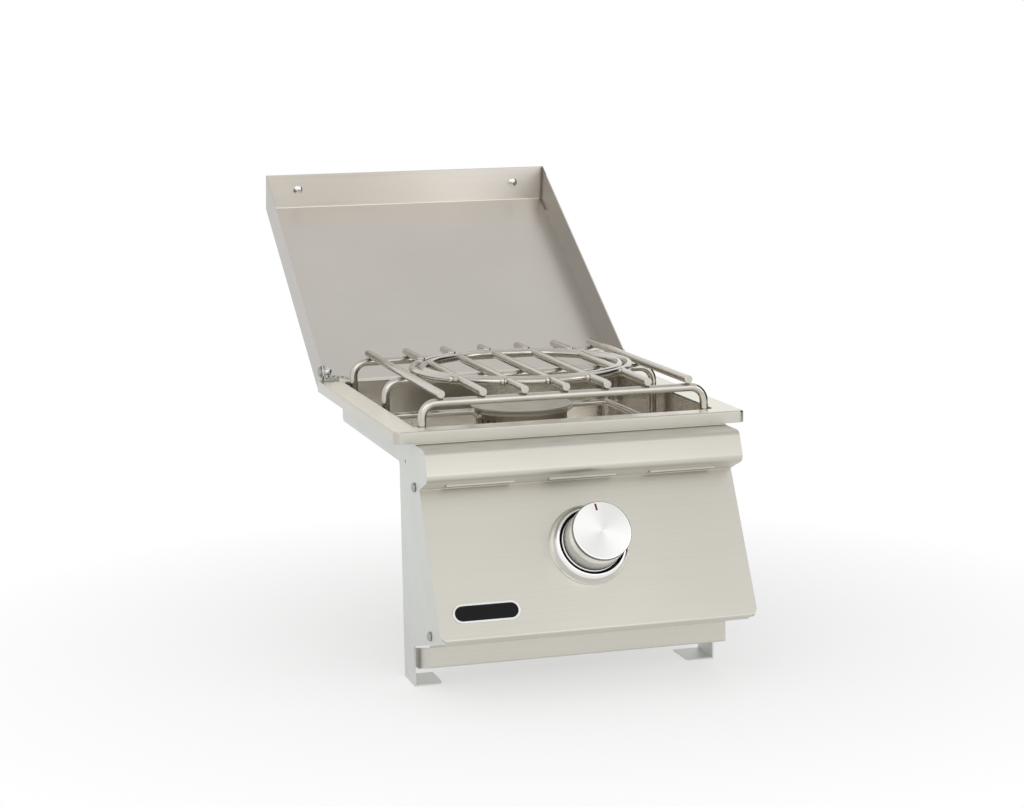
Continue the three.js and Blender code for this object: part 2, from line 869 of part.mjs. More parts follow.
function grateSupports() {
  const foot = panFloor + seatGap;
  return supportNames.map((name, i) => {
    const y = grateMiddle + (i - 1) * supportPitch;
    const corners = [
      new THREE.Vector3(-supportHalfSpan, y, foot),
      new THREE.Vector3(-supportHalfSpan, y, supportZ),
      new THREE.Vector3(supportHalfSpan, y, supportZ),
      new THREE.Vector3(supportHalfSpan, y, foot),
    ];
    const rod = bentRod(corners, supportBend, rodDiameter / 2, supportSides);
    return piece(`grate_support_${name}`, rod, rodSteel);
  });
}

// Burner: a drum with a ring of ports, and a flared cap that lifts off.

const drumTop = capTop - capFlareDrop - seatGap;

function burnerPorts() {
  const top = drumTop - portDrop;
  return Array.from({ length: portCount / 2 }, (_, i) => {
    const slot = new THREE.BoxGeometry(2 * capRadius, portWidth, portHeight);
    slot.rotateZ((2 * Math.PI * (i + 0.5)) / portCount);
    return toSolid(slot.translate(0, 0, top - portHeight / 2));
  });
}

function burnerHead() {
  const base = panFloor + seatGap;
  const drum = turned([
    [neckBore, base - neckDrop],
    [neckRadius, base - neckDrop],
    [neckRadius, base],
    [drumRadius, base],
    [drumRadius, drumTop],
    [drumRadius - drumWall, drumTop],
    [drumRadius - drumWall, base + drumWall],
    [neckBore, base + drumWall],
  ]);
  const head = piece("burner_head", cutBy(drum, burnerPorts()), castAluminium);
  head.position.y = burnerMiddle;
  return head;
}

function burnerCap() {
  const seat = drumTop + seatGap;
  const spigot = drumRadius - drumWall - turnGap;
  const cap = turned([
    [0, capTop],
    [capRadius - capEdge / 2, capTop],
    [capRadius, capTop - capEdge / 2],
    [capRadius, capTop - capEdge],
    [drumRadius + capEdge, seat + capEdge / 2],
    [drumRadius, seat],
    [spigot, seat],
    [spigot, seat - capSpigot],
    [spigot - drumWall, seat - capSpigot],
    [spigot - drumWall, capTop - drumWall],
    [0, capTop - drumWall],
  ]);
  const mesh = piece("burner_cap", cap, rodSteel);
  mesh.position.y = burnerMiddle;
  return mesh;
}

// Braces: bent rods that hold the burner from the pan's walls, stepped down under the cap to the drum.

function brace(name, side, outerEnd, beside) {
  const high = braceTop - braceDiameter / 2;
  const low = drumTop - braceDiameter / 2;
  const knee = capRadius + braceDiameter / 2;
  const corners = [
    [outerEnd, high], [knee, high], [knee - braceJoggleRun, low], [drumRadius - drumWall, low],
  ].map(([x, z]) => new THREE.Vector3(side * x, beside, z));
  const rod = bentRod(corners, braceBend, braceDiameter / 2, rodSides);
  const drum = cylinderZ(drumRadius + seatGap, -cutOverrun, cutOverrun, 0, 0, roundSteps);
  const mesh = piece(name, rod.subtract(drum), rodSteel);
  mesh.position.y = burnerMiddle;
  return mesh;
}

function burnerBraces() {
  const wall = openingWidth / 2 - seatGap;
  const radius = braceDiameter / 2;
  const railReach = supportHalfSpan - railInset;
  const clearOfSupport = (rodDiameter + braceDiameter) / 2 + turnGap;
  const rail = cylinderY(
    radius, openingFront + seatGap, burnerMiddle + railBehind, railReach, braceTop - radius, rodSides,
  );
  return [
    brace("burner_brace_left", -1, wall, grateMiddle - clearOfSupport - burnerMiddle),
    brace("burner_brace_right", 1, railReach - radius - seatGap, 0),
    piece("burner_rail", rail, rodSteel),
  ];
}

// Igniter: a bent wire in a ceramic tube, on a small plate beside the burner.

function igniter() {
  const group = new THREE.Group();
  group.position.set(0, burnerMiddle, 0);
  group.rotation.z = electrodeAngle;
  const floor = panFloor + seatGap;
  const plate = block(
    [electrodeDistance - bracketWidth / 2, -bracketLength / 2, floor],
    [electrodeDistance + bracketWidth / 2, bracketLength / 2, floor + bracketPlate],
  );
  const base = floor + bracketPlate + seatGap;
  const sleeve = cylinderZ(insulatorRadius, base, insulatorTop, electrodeDistance);
  const bore = electrodeWire / 2 + seatGap;
  const wireHole = cylinderZ(bore, insulatorTop - insulatorRadius, cutOverrun, electrodeDistance);
  const wire = bentRod([
    new THREE.Vector3(electrodeDistance, 0, insulatorTop - insulatorRadius + seatGap),
    new THREE.Vector3(electrodeDistance, 0, insulatorTop + electrodeRise - electrodeWire),
    new THREE.Vector3(electrodeDistance - electrodeReach, 0, insulatorTop + electrodeRise / 2),
  ], electrodeWire, electrodeWire / 2, rodSides);
  group.add(
    piece("igniter_bracket", plate, zincSteel),
    piece("igniter_insulator", sleeve.subtract(wireHole), ceramicWhite),
    piece("igniter_electrode", wire, zincSteel),
  );
  return group;
}

// Lid: a tray with a sloped front, drawn closed about its pivot.

const lid = new THREE.Group();
lid.position.set(0, pivotY, pivotZ);
lid.rotation.x = -lidTurn;

// The heel of each side flange is round about the pivot, then flat where it rests on the open rim.
function lidEar() {
  const down = new THREE.Vector2(Math.sin(lidTurn), -Math.cos(lidTurn));
  const back = new THREE.Vector2(Math.cos(lidTurn), Math.sin(lidTurn));
  const heel = down.clone().multiplyScalar(pivotRise - seatGap);
  const points = [];
  for (let k = 0; k <= earSteps; k += 1) {
    const angle = -Math.PI / 2 + (k / earSteps) * (Math.atan2(down.y, down.x) + Math.PI / 2);
    points.push([lidFlangeDrop * Math.cos(angle), lidFlangeDrop * Math.sin(angle)]);
  }
  points.push(heel.toArray(), heel.clone().addScaledVector(back, lidHeelLength).toArray());
  return points;
}

function lidOutline() {
  const frontFoot = [-lidFrontLength - lidFrontRun, -lidFlangeDrop, 0];
  const fold = [-lidFrontLength, lidPanelRise, lidFoldRadius];
  const rear = [-lidRearLength, lidPanelRise, 0];
  return { outer: [frontFoot, fold, rear], ear: lidEar() };
}

function lidTray() {
  const { outer, ear } = lidOutline();
  const skin = sheetEdge(outer, 0);
  const solid = new THREE.Shape([...skin, ...ear.reverse().map(([y, z]) => new THREE.Vector2(y, z))]);
  const under = sheetEdge(outer, -lidSheet);
  const first = under[0].clone();
  const slope = under[0].clone().sub(under[1]).normalize();
  const hollow = new THREE.Shape([
    first.addScaledVector(slope, cutOverrun),
    ...under.slice(1),
    under.at(-1).clone().add(new THREE.Vector2(2 * cutOverrun, 0)),
    new THREE.Vector2(2 * cutOverrun, under[0].y - 2 * cutOverrun),
  ]);
  const half = lidWidth / 2;
  const inner = half - lidSheet;
  const pivotHole = cylinderX(pivotRadius + turnGap, -rimWidth, rimWidth, 0, 0);
  const boltHoles = [-1, 1].map((side) => {
    const hole = cylinder(handleBoltRadius + seatGap, -handleEdge - lidSheet, handleEdge);
    hole.translate((side * handleBoltPitch) / 2, 0, 0);
    return toSolid(hole.applyMatrix4(lidFront.matrix));
  });
  const body = sideways(solid, -half, half).subtract(sideways(hollow, -inner, inner));
  return piece("lid_panel", cutBy(body, [pivotHole, ...boltHoles]), brushedSteel);
}

// The handle's frame lies on the outside of the lid's sloped front, with Z pointing away from it.
const lidFront = new THREE.Group();
lidFront.position.set(
  0,
  -lidFrontLength - handleBoltDrop * Math.sin(lidFlangeSlope),
  lidPanelRise - handleBoltDrop * Math.cos(lidFlangeSlope),
);
lidFront.rotation.x = Math.PI / 2 - lidFlangeSlope;
lidFront.updateMatrix();

function lidHandle() {
  const radius = handleDiameter / 2;
  const half = handleBoltPitch / 2 + handleOverhang;
  const profile = [
    [0, -half], [radius - handleEdge, -half], [radius, -half + handleEdge],
    [radius, half - handleEdge], [radius - handleEdge, half], [0, half],
  ];
  const bar = turned(profile, holeSides).rotate([0, 90, 0]).translate([0, 0, handleStandoff]);
  const posts = [-1, 1].map((side) => {
    const x = (side * handleBoltPitch) / 2;
    return cylinderZ(handlePostRadius, seatGap, handleStandoff, x);
  });
  const holes = [-1, 1].map((side) => {
    const x = (side * handleBoltPitch) / 2;
    const bore = handleBoltRadius + seatGap;
    return cylinderZ(bore, -handleEdge, handleBoltDepth + seatGap, x);
  });
  return piece("lid_handle", cutBy(joined([bar, ...posts]), holes), brushedSteel);
}

function handleBolt(name, side) {
  const seat = -lidSheet - seatGap;
  const head = turned([
    [0, seat],
    [handleBoltHeadRadius, seat],
    [handleBoltHeadRadius, seat - handleBoltHeadHeight / 3],
    [handleBoltHeadRadius * Math.SQRT1_2, seat - handleBoltHeadHeight * 0.8],
    [0, seat - handleBoltHeadHeight],
  ], holeSides);
  const shank = cylinderZ(handleBoltRadius, seat - weldBite, handleBoltDepth);
  const bolt = piece(name, head.add(shank), chrome);
  bolt.position.x = (side * handleBoltPitch) / 2;
  return bolt;
}

// Lid hinges: a bracket on the rim inside each flange, with a pivot bolt and a domed nut.

const flangeInner = lidWidth / 2 - lidSheet;
const tabOuter = flangeInner - turnGap;
const tabInner = tabOuter - bracketSheet;

function hingeBracket(name, side) {
  const foot = rimHeight + seatGap;
  const [front, rear] = [pivotY - bracketDepth / 2, pivotY + bracketDepth / 2 - handleEdge];
  const tab = new THREE.Shape();
  tab.moveTo(front, foot);
  tab.lineTo(rear, foot);
  tab.lineTo(pivotY + bracketHeadRadius, pivotZ);
  tab.absarc(pivotY, pivotZ, bracketHeadRadius, 0, Math.PI);
  const [near, far] = [side * tabInner, side * tabOuter];
  const upstand = sideways(tab, Math.min(near, far), Math.max(near, far));
  const [inner, outer] = [side * (tabInner - bracketFoot), side * tabOuter];
  const base = block(
    [Math.min(inner, outer), front, foot],
    [Math.max(inner, outer), rear, foot + bracketSheet],
  );
  const hole = cylinderX(pivotRadius + seatGap, -rimWidth, rimWidth, pivotY, pivotZ);
  return piece(name, upstand.add(base).subtract(hole), zincSteel);
}

function pivotBolt(name, side) {
  const seat = lidWidth / 2 + turnGap;
  const top = seat + pivotWasherThickness;
  const tail = tabInner - pivotNutLength + bracketSheet;
  const profile = [
    [0, tail],
    [pivotRadius, tail],
    [pivotRadius, seat],
    [pivotWasherRadius, seat],
    [pivotWasherRadius, top],
    [pivotHeadRadius, top],
    [pivotHeadRadius, top + pivotHeadHeight / 3],
    [pivotHeadRadius * Math.SQRT1_2, top + pivotHeadHeight * 0.8],
    [0, top + pivotHeadHeight],
  ];
  return hingePiece(name, side, turned(profile, holeSides), zincSteel);
}

function pivotNut(name, side) {
  const seat = tabInner - seatGap;
  const end = seat - pivotNutLength;
  const bore = pivotRadius + seatGap;
  const shoulder = seat - pivotNutLength / 2;
  const profile = [
    [bore, seat],
    [pivotNutRadius, seat],
    [pivotNutRadius, shoulder],
    [pivotNutRadius * 0.85, end + pivotNutLength * 0.2],
    [pivotNutRadius / 2, end],
    [0, end],
    [0, end + bracketSheet - seatGap],
    [bore, end + bracketSheet - seatGap],
  ];
  return hingePiece(name, side, turned(profile, holeSides), chrome);
}

function hingePiece(name, side, solid, material) {
  const mesh = piece(name, solid, material);
  mesh.rotation.y = (side * Math.PI) / 2;
  mesh.position.set(0, pivotY, pivotZ);
  return mesh;
}

function chainAnchor() {
  const seat = tabInner - seatGap;
  const profile = [
    [0, seat],
    [anchorRadius, seat],
    [anchorRadius, seat - anchorHeight / 2],
    [anchorRadius / 2, seat - anchorHeight],
    [0, seat - anchorHeight],
  ];
  const anchor = piece("chain_anchor", turned(profile, holeSides), chrome);
  anchor.rotation.y = -Math.PI / 2;
  anchor.position.set(0, pivotY - anchorForward, pivotZ - anchorDrop);
  return anchor;
}

// Match holder on a short chain from the left hinge, over the pan's edge behind the rear support.

const chainHang = openingRear - holderRadius - seatGap;
const chainLie = rimHeight + seatGap + linkWidth / 2;
const chainDrop = rodDiameter / 4 - supportHalfSpan;
const linkPitch = linkLength - 2 * linkWire + weldBite;
const chainRest = new THREE.Vector3(
  bracketFoot + linkWidth - tabInner, pivotY - anchorForward - linkWidth / 2, chainLie + linkWire,
);
const chainRoute = new THREE.CatmullRomCurve3([
  new THREE.Vector3(
    anchorHeight + linkLength / 2 - tabInner, pivotY - anchorForward, pivotZ - anchorDrop,
  ),
  chainRest,
  new THREE.Vector3((chainRest.x + chainDrop) / 2, openingRear + rimRearStrip / 4, chainLie),
  new THREE.Vector3(chainDrop, openingRear + linkWidth / 4, chainLie + linkWire / 2),
  new THREE.Vector3(chainDrop, chainHang, rimHeight),
  new THREE.Vector3(chainDrop, chainHang, rimHeight - chainHangLength),
]);
const linkCount = 1 + Math.floor(chainRoute.getLength() / linkPitch);

function matchChain() {
  const sections = roundPoints(linkWire / 2, linkSides, (linkWidth - linkWire) / 2, 0);
  const stretch = linkLength / linkWidth;
  const length = chainRoute.getLength();
  const links = Array.from({ length: linkCount }, (_, i) => {
    const place = (i * linkPitch) / length;
    const ring = turned(sections, linkSteps);
    const quarter = i % 2 ? Math.PI / 4 : -Math.PI / 4;
    const heading = new THREE.Quaternion().setFromUnitVectors(
      new THREE.Vector3(1, 0, 0),
      chainRoute.getTangentAt(place),
    );
    const roll = new THREE.Quaternion().setFromAxisAngle(new THREE.Vector3(1, 0, 0), quarter);
    const matrix = new THREE.Matrix4().compose(
      chainRoute.getPointAt(place),
      heading.multiply(roll),
      new THREE.Vector3(stretch, 1, 1),
    );
    return ring.transform(matrix.toArray());
  });
  return piece("match_chain", joined(links), zincSteel);
}

function matchHolder() {
  const end = chainRoute.getPointAt(((linkCount - 1) * linkPitch) / chainRoute.getLength());
  const top = end.z - linkLength / 2 - seatGap;
  const body = turned([
    [holderBore, top - holderLength],
    [holderRadius, top - holderLength],
    [holderRadius, top],
    [0, top],
    [0, top - holderRadius],
    [holderBore, top - holderRadius],
  ], holeSides);
  const holder = piece("match_holder", body, zincSteel);
  holder.position.set(end.x, end.y, 0);
  return holder;
}

// Knob, bezel, badge and valve, in the frame on the panel's face

function knob() {
  const ceiling = knobTop - knobWall;
  const bore = stemRadius + seatGap;
  const body = turned([
    [0, knobTop],
    [knobRadius - knobEdge, knobTop],
    [knobRadius - knobEdge / 4, knobTop - knobEdge / 3],
    [knobRadius, knobTop - knobEdge],
    [knobRadius, knobBase + knobSkirtHeight + knobEdge],
    [knobSkirtRadius, knobBase + knobSkirtHeight],
    [knobSkirtRadius, knobBase],
    [knobRadius - knobWall, knobBase],
    [knobRadius - knobWall, ceiling],
    [knobHubRadius, ceiling],
    [knobHubRadius, knobHubBase],
    [bore, knobHubBase],
    [bore, knobSocketTop],
    [0, knobSocketTop],
  ]);
  const radial = knobRadius - knobEdge - indicatorInset - indicatorLength / 2;
  const half = [indicatorWidth / 2, indicatorLength / 2];
  const groove = block(
    [-half[0], radial - half[1], knobTop - indicatorDepth],
    [half[0], radial + half[1], knobTop + cutOverrun],
  );
  const inlay = block(
    [seatGap - half[0], radial - half[1] + seatGap, knobTop - indicatorDepth + seatGap],
    [half[0] - seatGap, radial + half[1] - seatGap, knobTop],
  );
  const meshes = [
    piece("knob", body.subtract(groove), chrome),
    piece("knob_indicator", inlay, redPaint),
  ];
  meshes.forEach((mesh) => {
    mesh.rotation.z = indicatorTurn;
  });
  return meshes;
}

function knobBezel() {
  const ring = turned([
    [bezelHole, seatGap],
    [bezelRadius, seatGap],
    [bezelRadius, bezelFlange / 2],
    [bezelRadius - bezelFlange / 2, bezelFlange],
    [bezelStepRadius, bezelFlange],
    [bezelStepRadius - knobEdge, bezelHeight - bezelFlange],
    [bezelTopRadius, bezelHeight - knobEdge / 2],
    [bezelTopRadius - knobEdge / 2, bezelHeight],
    [bezelBore, bezelHeight - knobEdge / 2],
    [bezelBore, bezelFloor],
    [bezelHole, bezelFloor],
  ]);
  const holes = [-1, 1].map((side) => {
    const x = (side * valveScrewPitch) / 2;
    return cylinderZ(valveScrewRadius + seatGap, -cutOverrun, cutOverrun, x);
  });
  return piece("knob_bezel", cutBy(ring, holes), chrome);
}

function valveStem() {
  const stem = cylinderZ(stemRadius, -stemTail, knobSocketTop - seatGap);
  return piece("valve_stem", stem, brass);
}

const valveFace = -panelSheet - seatGap;
const valveShoulder = valveFace - valveFlange - valveNeckLength;
const valveRear = valveShoulder - valveLength;

function valveBody() {
  const flangeShape = roundedRect(
    valveFlangeWidth, valveFlangeHeight, valveFlangeHeight / 3, 0, 0,
  );
  const solids = [
    upright(flangeShape, valveFace - valveFlange, valveFace),
    cylinderZ(valveNeckRadius, valveShoulder - weldBite, valveFace - weldBite),
    upright(roundedRect(valveWidth, valveHeight, valveCorner, 0, 0), valveRear, valveShoulder),
  ];
  const screwHoles = [-1, 1].map((side) => {
    const x = (side * valveScrewPitch) / 2;
    return cylinderZ(valveScrewRadius + seatGap, valveShoulder + seatGap, 0, x);
  });
  const tools = [
    cylinderZ(stemRadius + turnGap, valveRear, 0),
    cylinderZ(plugRadius + turnGap, valveRear - cutOverrun, -plugTop + turnGap),
    ...screwHoles,
  ];
  return piece("valve_body", cutBy(joined(solids), tools), castAluminium);
}

function valvePlug() {
  const socket = stemRadius + turnGap;
  const plug = turned([
    [0, -plugTop - plugLength],
    [plugRadius, -plugTop - plugLength],
    [plugRadius, -plugTop],
    [socket, -plugTop],
    [socket, -plugTop - plugSocket],
    [0, -plugTop - plugSocket],
  ], holeSides);
  return piece("valve_plug", plug, brass);
}

function valveRearCap() {
  const top = valveRear - seatGap;
  const plan = roundedRect(valveWidth, valveHeight, valveCorner, 0, 0);
  return piece("valve_rear_cap", upright(plan, top - valveCapThickness, top), castAluminium);
}

function valveScrew(name, side) {
  const seat = bezelFloor + seatGap;
  const screw = turned([
    [0, seat - valveScrewLength],
    [valveScrewRadius, seat - valveScrewLength],
    [valveScrewRadius, seat],
    [valveScrewHeadRadius, seat],
    [valveScrewHeadRadius, seat + valveScrewSink],
    [valveScrewRadius, seat + valveScrewHead],
    [0, seat + valveScrewHead],
  ], holeSides);
  const mesh = piece(name, screw, zincSteel);
  mesh.position.x = (side * valveScrewPitch) / 2;
  return mesh;
}

function badge() {
  const x = badgeInset - panelWidth / 2;
  const y = knobDrop - badgeDrop;
  const pill = (length, height) => roundedRect(length, height, height / 2.01, x, y);
  const inner = [badgeLength - 2 * badgeRim, badgeHeight - 2 * badgeRim];
  const frame = upright(pill(badgeLength, badgeHeight), seatGap, badgeThickness);
  const window = upright(pill(...inner), -cutOverrun, cutOverrun);
  const gap = 2 * seatGap;
  const plate = upright(pill(inner[0] - gap, inner[1] - gap), seatGap, seatGap + badgePlate);
  return [
    piece("badge_frame", frame.subtract(window), chrome),
    piece("badge_plate", plate, blackEnamel),
  ];
}

// Gas path: a nipple on the valve, a mixing tube under the pan and the supply pipe.

function gasOrifice() {
  const foot = valveHeight / 2 + seatGap;
  const end = foot + orificeLength;
  const nipple = turned([
    [orificeBore, foot],
    [orificeRadius, foot],
    [orificeRadius, foot + orificeBase],
    [orificeTipRadius, foot + orificeBase],
    [orificeTipRadius, end - orificeBore],
    [orificeTipRadius - orificeBore, end],
    [orificeBore, end],
  ], holeSides);
  const mesh = piece("gas_orifice", nipple, brass);
  mesh.rotation.x = -Math.PI / 2;
  mesh.position.z = -outletDepth;
  return mesh;
}

const upPanel = new THREE.Vector3(0, Math.sin(panelTilt), Math.cos(panelTilt));
const mixerInlet = new THREE.Vector3(0, mixerStart, -outletDepth).applyMatrix4(controls.matrix);
const mixerRun = (-mixerDrop - mixerInlet.z) / upPanel.z;
const neckEnd = panFloor + seatGap - neckDrop;

function mixingTube() {
  const corners = [
    mixerInlet,
    mixerInlet.clone().addScaledVector(upPanel, mixerRun),
    new THREE.Vector3(0, burnerMiddle, -mixerDrop),
    new THREE.Vector3(0, burnerMiddle, neckEnd - seatGap),
  ];
  const bend = Math.min(mixerBend, neckEnd - seatGap + mixerDrop - weldBite);
  const tube = bentTube(corners, bend, mixerRadius, mixerRadius - mixerWall, mixerSides);
  return piece("mixing_tube", tube, zincSteel);
}

function airShutter() {
  const bore = mixerRadius + seatGap;
  const ring = turned([
    [bore, 0],
    [bore + shutterWall, 0],
    [bore + shutterWall, shutterLength],
    [bore, shutterLength],
  ], holeSides);
  const mesh = piece("air_shutter", ring, zincSteel);
  mesh.rotation.x = -Math.PI / 2;
  mesh.position.set(0, mixerStart + shutterOffset, -outletDepth);
  return mesh;
}

function supplyPipe() {
  const side = -valveWidth / 2 - seatGap;
  const start = new THREE.Vector3(side, 0, -inletDepth).applyMatrix4(controls.matrix);
  const turn = start.clone().add(new THREE.Vector3(-inletReach, 0, 0));
  const end = turn.clone().add(new THREE.Vector3(0, inletRun, 0));
  const pipe = bentTube([start, turn, end], inletBend, inletRadius, inletBore, mixerSides);
  const bore = inletRadius + seatGap;
  const nutStart = end.y - inletNutLength + inletBore;
  const hexagon = cylinderY(inletNutRadius, nutStart, end.y + inletBore, end.x, end.z, 6);
  const tail = cylinderY(inletTailRadius, end.y, end.y + inletTailLength, end.x, end.z);
  const tools = [
    cylinderY(bore, nutStart - cutOverrun, end.y + seatGap, end.x, end.z),
    cylinderY(inletBore, nutStart, end.y + 2 * cutOverrun, end.x, end.z),
  ];
  return [
    piece("gas_supply_pipe", pipe, brass),
    piece("gas_inlet_fitting", cutBy(hexagon.add(tail), tools), brass),
  ];
}

// The whole burner

const sides = [["left", -1], ["right", 1]];

function fixedPieces() {
  const pieces = [rimFrame(), burnerPan(), controlPanel(), lowerValance(), chainAnchor()];
  sides.forEach(([name, side]) => {
    pieces.push(
      sidePlate(`side_plate_${name}`, side),
      hingeBracket(`hinge_bracket_${name}`, side),
      pivotBolt(`pivot_bolt_${name}`, side),
      pivotNut(`pivot_nut_${name}`, side),
    );
    sideScrews.forEach(([place, y, z]) => {
      pieces.push(sideScrew(`side_screw_${place}_${name}`, side, y, z));
    });
  });
  return pieces;
}

sides.forEach(([name, side]) => lidFront.add(handleBolt(`handle_bolt_${name}`, side)));
lidFront.add(lidHandle());
lid.add(lidTray(), lidFront);
sides.forEach(([name, side]) => controls.add(valveScrew(`valve_screw_${name}`, side)));
controls.add(
  ...knob(), knobBezel(), ...badge(),
  valveStem(), valveBody(), valvePlug(), valveRearCap(), gasOrifice(), airShutter(),
);

const sideBurner = new THREE.Group();
sideBurner.add(
  ...fixedPieces(), ...grateTop(), ...grateSupports(),
  burnerHead(), burnerCap(), ...burnerBraces(), igniter(),
  matchChain(), matchHolder(), mixingTube(), ...supplyPipe(),
  controls, lid,
);

export default sideBurner;
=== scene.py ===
"""Looks of a built in side burner: brushed sheet, a welded rod grate, a tray lid and one knob."""

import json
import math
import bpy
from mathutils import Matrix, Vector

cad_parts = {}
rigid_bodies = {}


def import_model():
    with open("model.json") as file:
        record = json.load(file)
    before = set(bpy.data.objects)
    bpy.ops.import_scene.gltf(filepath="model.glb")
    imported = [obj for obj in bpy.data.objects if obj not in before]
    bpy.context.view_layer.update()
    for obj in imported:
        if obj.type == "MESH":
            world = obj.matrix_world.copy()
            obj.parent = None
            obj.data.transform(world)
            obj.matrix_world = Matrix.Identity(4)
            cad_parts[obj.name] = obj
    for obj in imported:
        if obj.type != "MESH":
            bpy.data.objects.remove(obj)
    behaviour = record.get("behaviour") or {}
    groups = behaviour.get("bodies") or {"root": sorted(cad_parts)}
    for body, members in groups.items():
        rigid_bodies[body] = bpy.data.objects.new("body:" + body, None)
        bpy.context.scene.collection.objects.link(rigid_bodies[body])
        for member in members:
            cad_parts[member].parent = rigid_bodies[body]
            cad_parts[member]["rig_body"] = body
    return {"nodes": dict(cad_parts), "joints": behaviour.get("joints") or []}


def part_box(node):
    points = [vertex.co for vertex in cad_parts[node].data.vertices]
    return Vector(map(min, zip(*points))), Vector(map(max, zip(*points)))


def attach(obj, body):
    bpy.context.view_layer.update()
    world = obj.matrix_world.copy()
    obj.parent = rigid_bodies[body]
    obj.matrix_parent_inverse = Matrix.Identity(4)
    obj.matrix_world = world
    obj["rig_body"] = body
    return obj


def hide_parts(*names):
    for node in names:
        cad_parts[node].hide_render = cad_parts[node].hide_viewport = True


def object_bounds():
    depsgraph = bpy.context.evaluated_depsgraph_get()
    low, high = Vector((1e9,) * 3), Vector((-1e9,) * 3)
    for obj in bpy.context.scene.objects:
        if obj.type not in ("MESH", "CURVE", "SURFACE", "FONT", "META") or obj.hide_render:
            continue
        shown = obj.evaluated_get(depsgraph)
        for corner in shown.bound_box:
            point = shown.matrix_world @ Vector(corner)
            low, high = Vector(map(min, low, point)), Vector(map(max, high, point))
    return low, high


bl_info = {
    "name": "Built in side burner",
    "version": (1, 0, 0),
    "blender": (4, 5, 0),
    "location": "View3D > Sidebar > Side Burner",
    "description": "Dresses a drop-in gas side burner with its metals, rods, welds and studio",
    "category": "Object",
}

import bmesh
import bpy
from bpy.props import FloatProperty, FloatVectorProperty, IntProperty, PointerProperty
from bpy.types import Operator, Panel, PropertyGroup
from mathutils import Matrix, Vector

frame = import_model()
NODES = frame["nodes"]
JOINTS = {joint["name"]: joint for joint in frame["joints"]}
CAD_BOX = [list(corner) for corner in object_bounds()]
MM = 0.001
SIDES = {"left": -1, "right": 1}


# Places that the frame gives


def middle(node):
    low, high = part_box(node)
    return (low + high) / 2


def turned_frame(origin, outward):
    """A matrix whose Z axis points outwards from origin and whose X axis is the object's X."""
    z = Vector(outward).normalized()
    x = Vector((1, 0, 0))
    y = z.cross(x)
    matrix = Matrix((x, y, z)).transposed().to_4x4()
    matrix.translation = Vector(origin)
    return matrix


KNOB = turned_frame(JOINTS["knob_turn"]["pos_m"], JOINTS["knob_turn"]["axis"])
BURNER = Matrix.Translation((0, middle("burner_cap").y, 0))
CAP_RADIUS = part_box("burner_cap")[1].x
GRATE_LOW, GRATE_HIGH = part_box("grate_ring_and_bars")
GRATE_Y = middle("grate_ring_and_bars").y
ROD_RADIUS = (GRATE_HIGH.z - GRATE_LOW.z) / 2
BAR_Z = (GRATE_HIGH.z + GRATE_LOW.z) / 2
BARS_EACH_SIDE = 3
BAR_PITCH = middle("grate_side_bar_right").x / BARS_EACH_SIDE
RING_RADIUS = GRATE_HIGH.x - ROD_RADIUS


# Real sizes in millimetres that the frame doesn't give

# The lid's brown weld mark: how far its corner reaches along Y, and how far inside the outer face
# the mark starts and is full
LID_CORNER = 22
WELD_MARK = (4.5, 1.4)

# The lower valance's turned back ends lie beyond this X and reach back to this Y. They are carried
# on by (Y, Z).
RETURN_X = 144
RETURN_Y = -155
RETURN_CARRIED = (20, -5)

# The hoods of the vent slots lie on the slope that rises from the panel's waist to its nose, both
# given as (Y, Z). Their front and back are measured from the waist, and their foot and crest from
# the slope.
WAIST = (-191, -41)
SLOPE = (33, -13)
HOOD_LENGTH = 64.5
HOOD_PITCH = 98
HOOD_FRONT, HOOD_BACK = -16, -5
HOOD_FOOT, HOOD_CREST = -0.2, 1.8

# The burner cap's flare from the edge of its top: each corner's inset from the rim and its drop
CAP_FLARE = (
    (1.4, 0), (0.5, 0.3), (0, 0.8), (0.2, 1.6), (2.2, 3.4), (3, 4.2), (4.4, 4.5),
    (4.4, 5), (3.8, 5.3), (4.2, 6.6), (5.6, 7.8), (8.5, 8),
)

# The round wall under the cap, by the insets of its two faces from the rim, and the cap's thickness
CAP_WALL = (8.5, 11.5)
CAP_THICKNESS = 3

# The braces bend down this far outside the cap, over this length
KNEE_CLEARANCE = 1.7
KNEE_LENGTH = 5.4

# Steps on the knob, each a height where it starts and one where it ends, above the panel's face.
# The knob is painted with shade below the skirt's step, between the groove's steps and between the
# edge's step and the face's.
SKIRT_SHADE_TOP = (11.8, 12.4)
GRIP_FOOT, GRIP_TOP = (14, 15), (33, 34)
GROOVE_SHADE_FOOT, GROOVE_SHADE_TOP = (42.9, 43.2), (45.4, 45.7)
EDGE_SHADE_FOOT = (45.5, 45.7)
FACE_FOOT = (46.4, 46.6)

# How many knurls go round the grip, and the height of one
KNURLS_ROUND = 56
KNURL_HEIGHT = 5

# The bezel's section as (radius, height) above the panel's face. Its cup is painted black up to its
# bore, as painted shade in the gap round the knob.
BEZEL_SECTION = (
    (9, 0.3), (38.2, 0.3), (38.2, 1.6), (38, 2.2), (37.4, 2.8), (37.1, 3.6), (36.7, 5.6),
    (36, 8), (35.2, 9.9), (34.2, 11.4), (33.2, 12.4), (32.3, 12.9), (31.7, 13),
    (31.3, 12.8), (31, 12.3), (31, 3), (9, 3), (9, 0.3),
)
BEZEL_BORE = 31.5

# Points nearer to each other than this are one
SAME_PLACE = 0.002

# Facets round a turned piece and along a rod's bend, and the angles in degrees from which an edge
# is rounded and from which it is left crisp
TURNED_STEPS = 128
BEND_STEPS = 10
ROUNDED_ANGLE = 32
CRISP_ANGLE = 35


# Colours and shader nodes

# Most of a noise lies between these two values
NOISE_RANGE = (0.3, 0.7)


def linear(text):
    """The linear colour of an sRGB hex value."""
    channels = [int(text[i : i + 2], 16) / 255 for i in (0, 2, 4)]
    return [c / 12.92 if c <= 0.04045 else ((c + 0.055) / 1.055) ** 2.4 for c in channels]


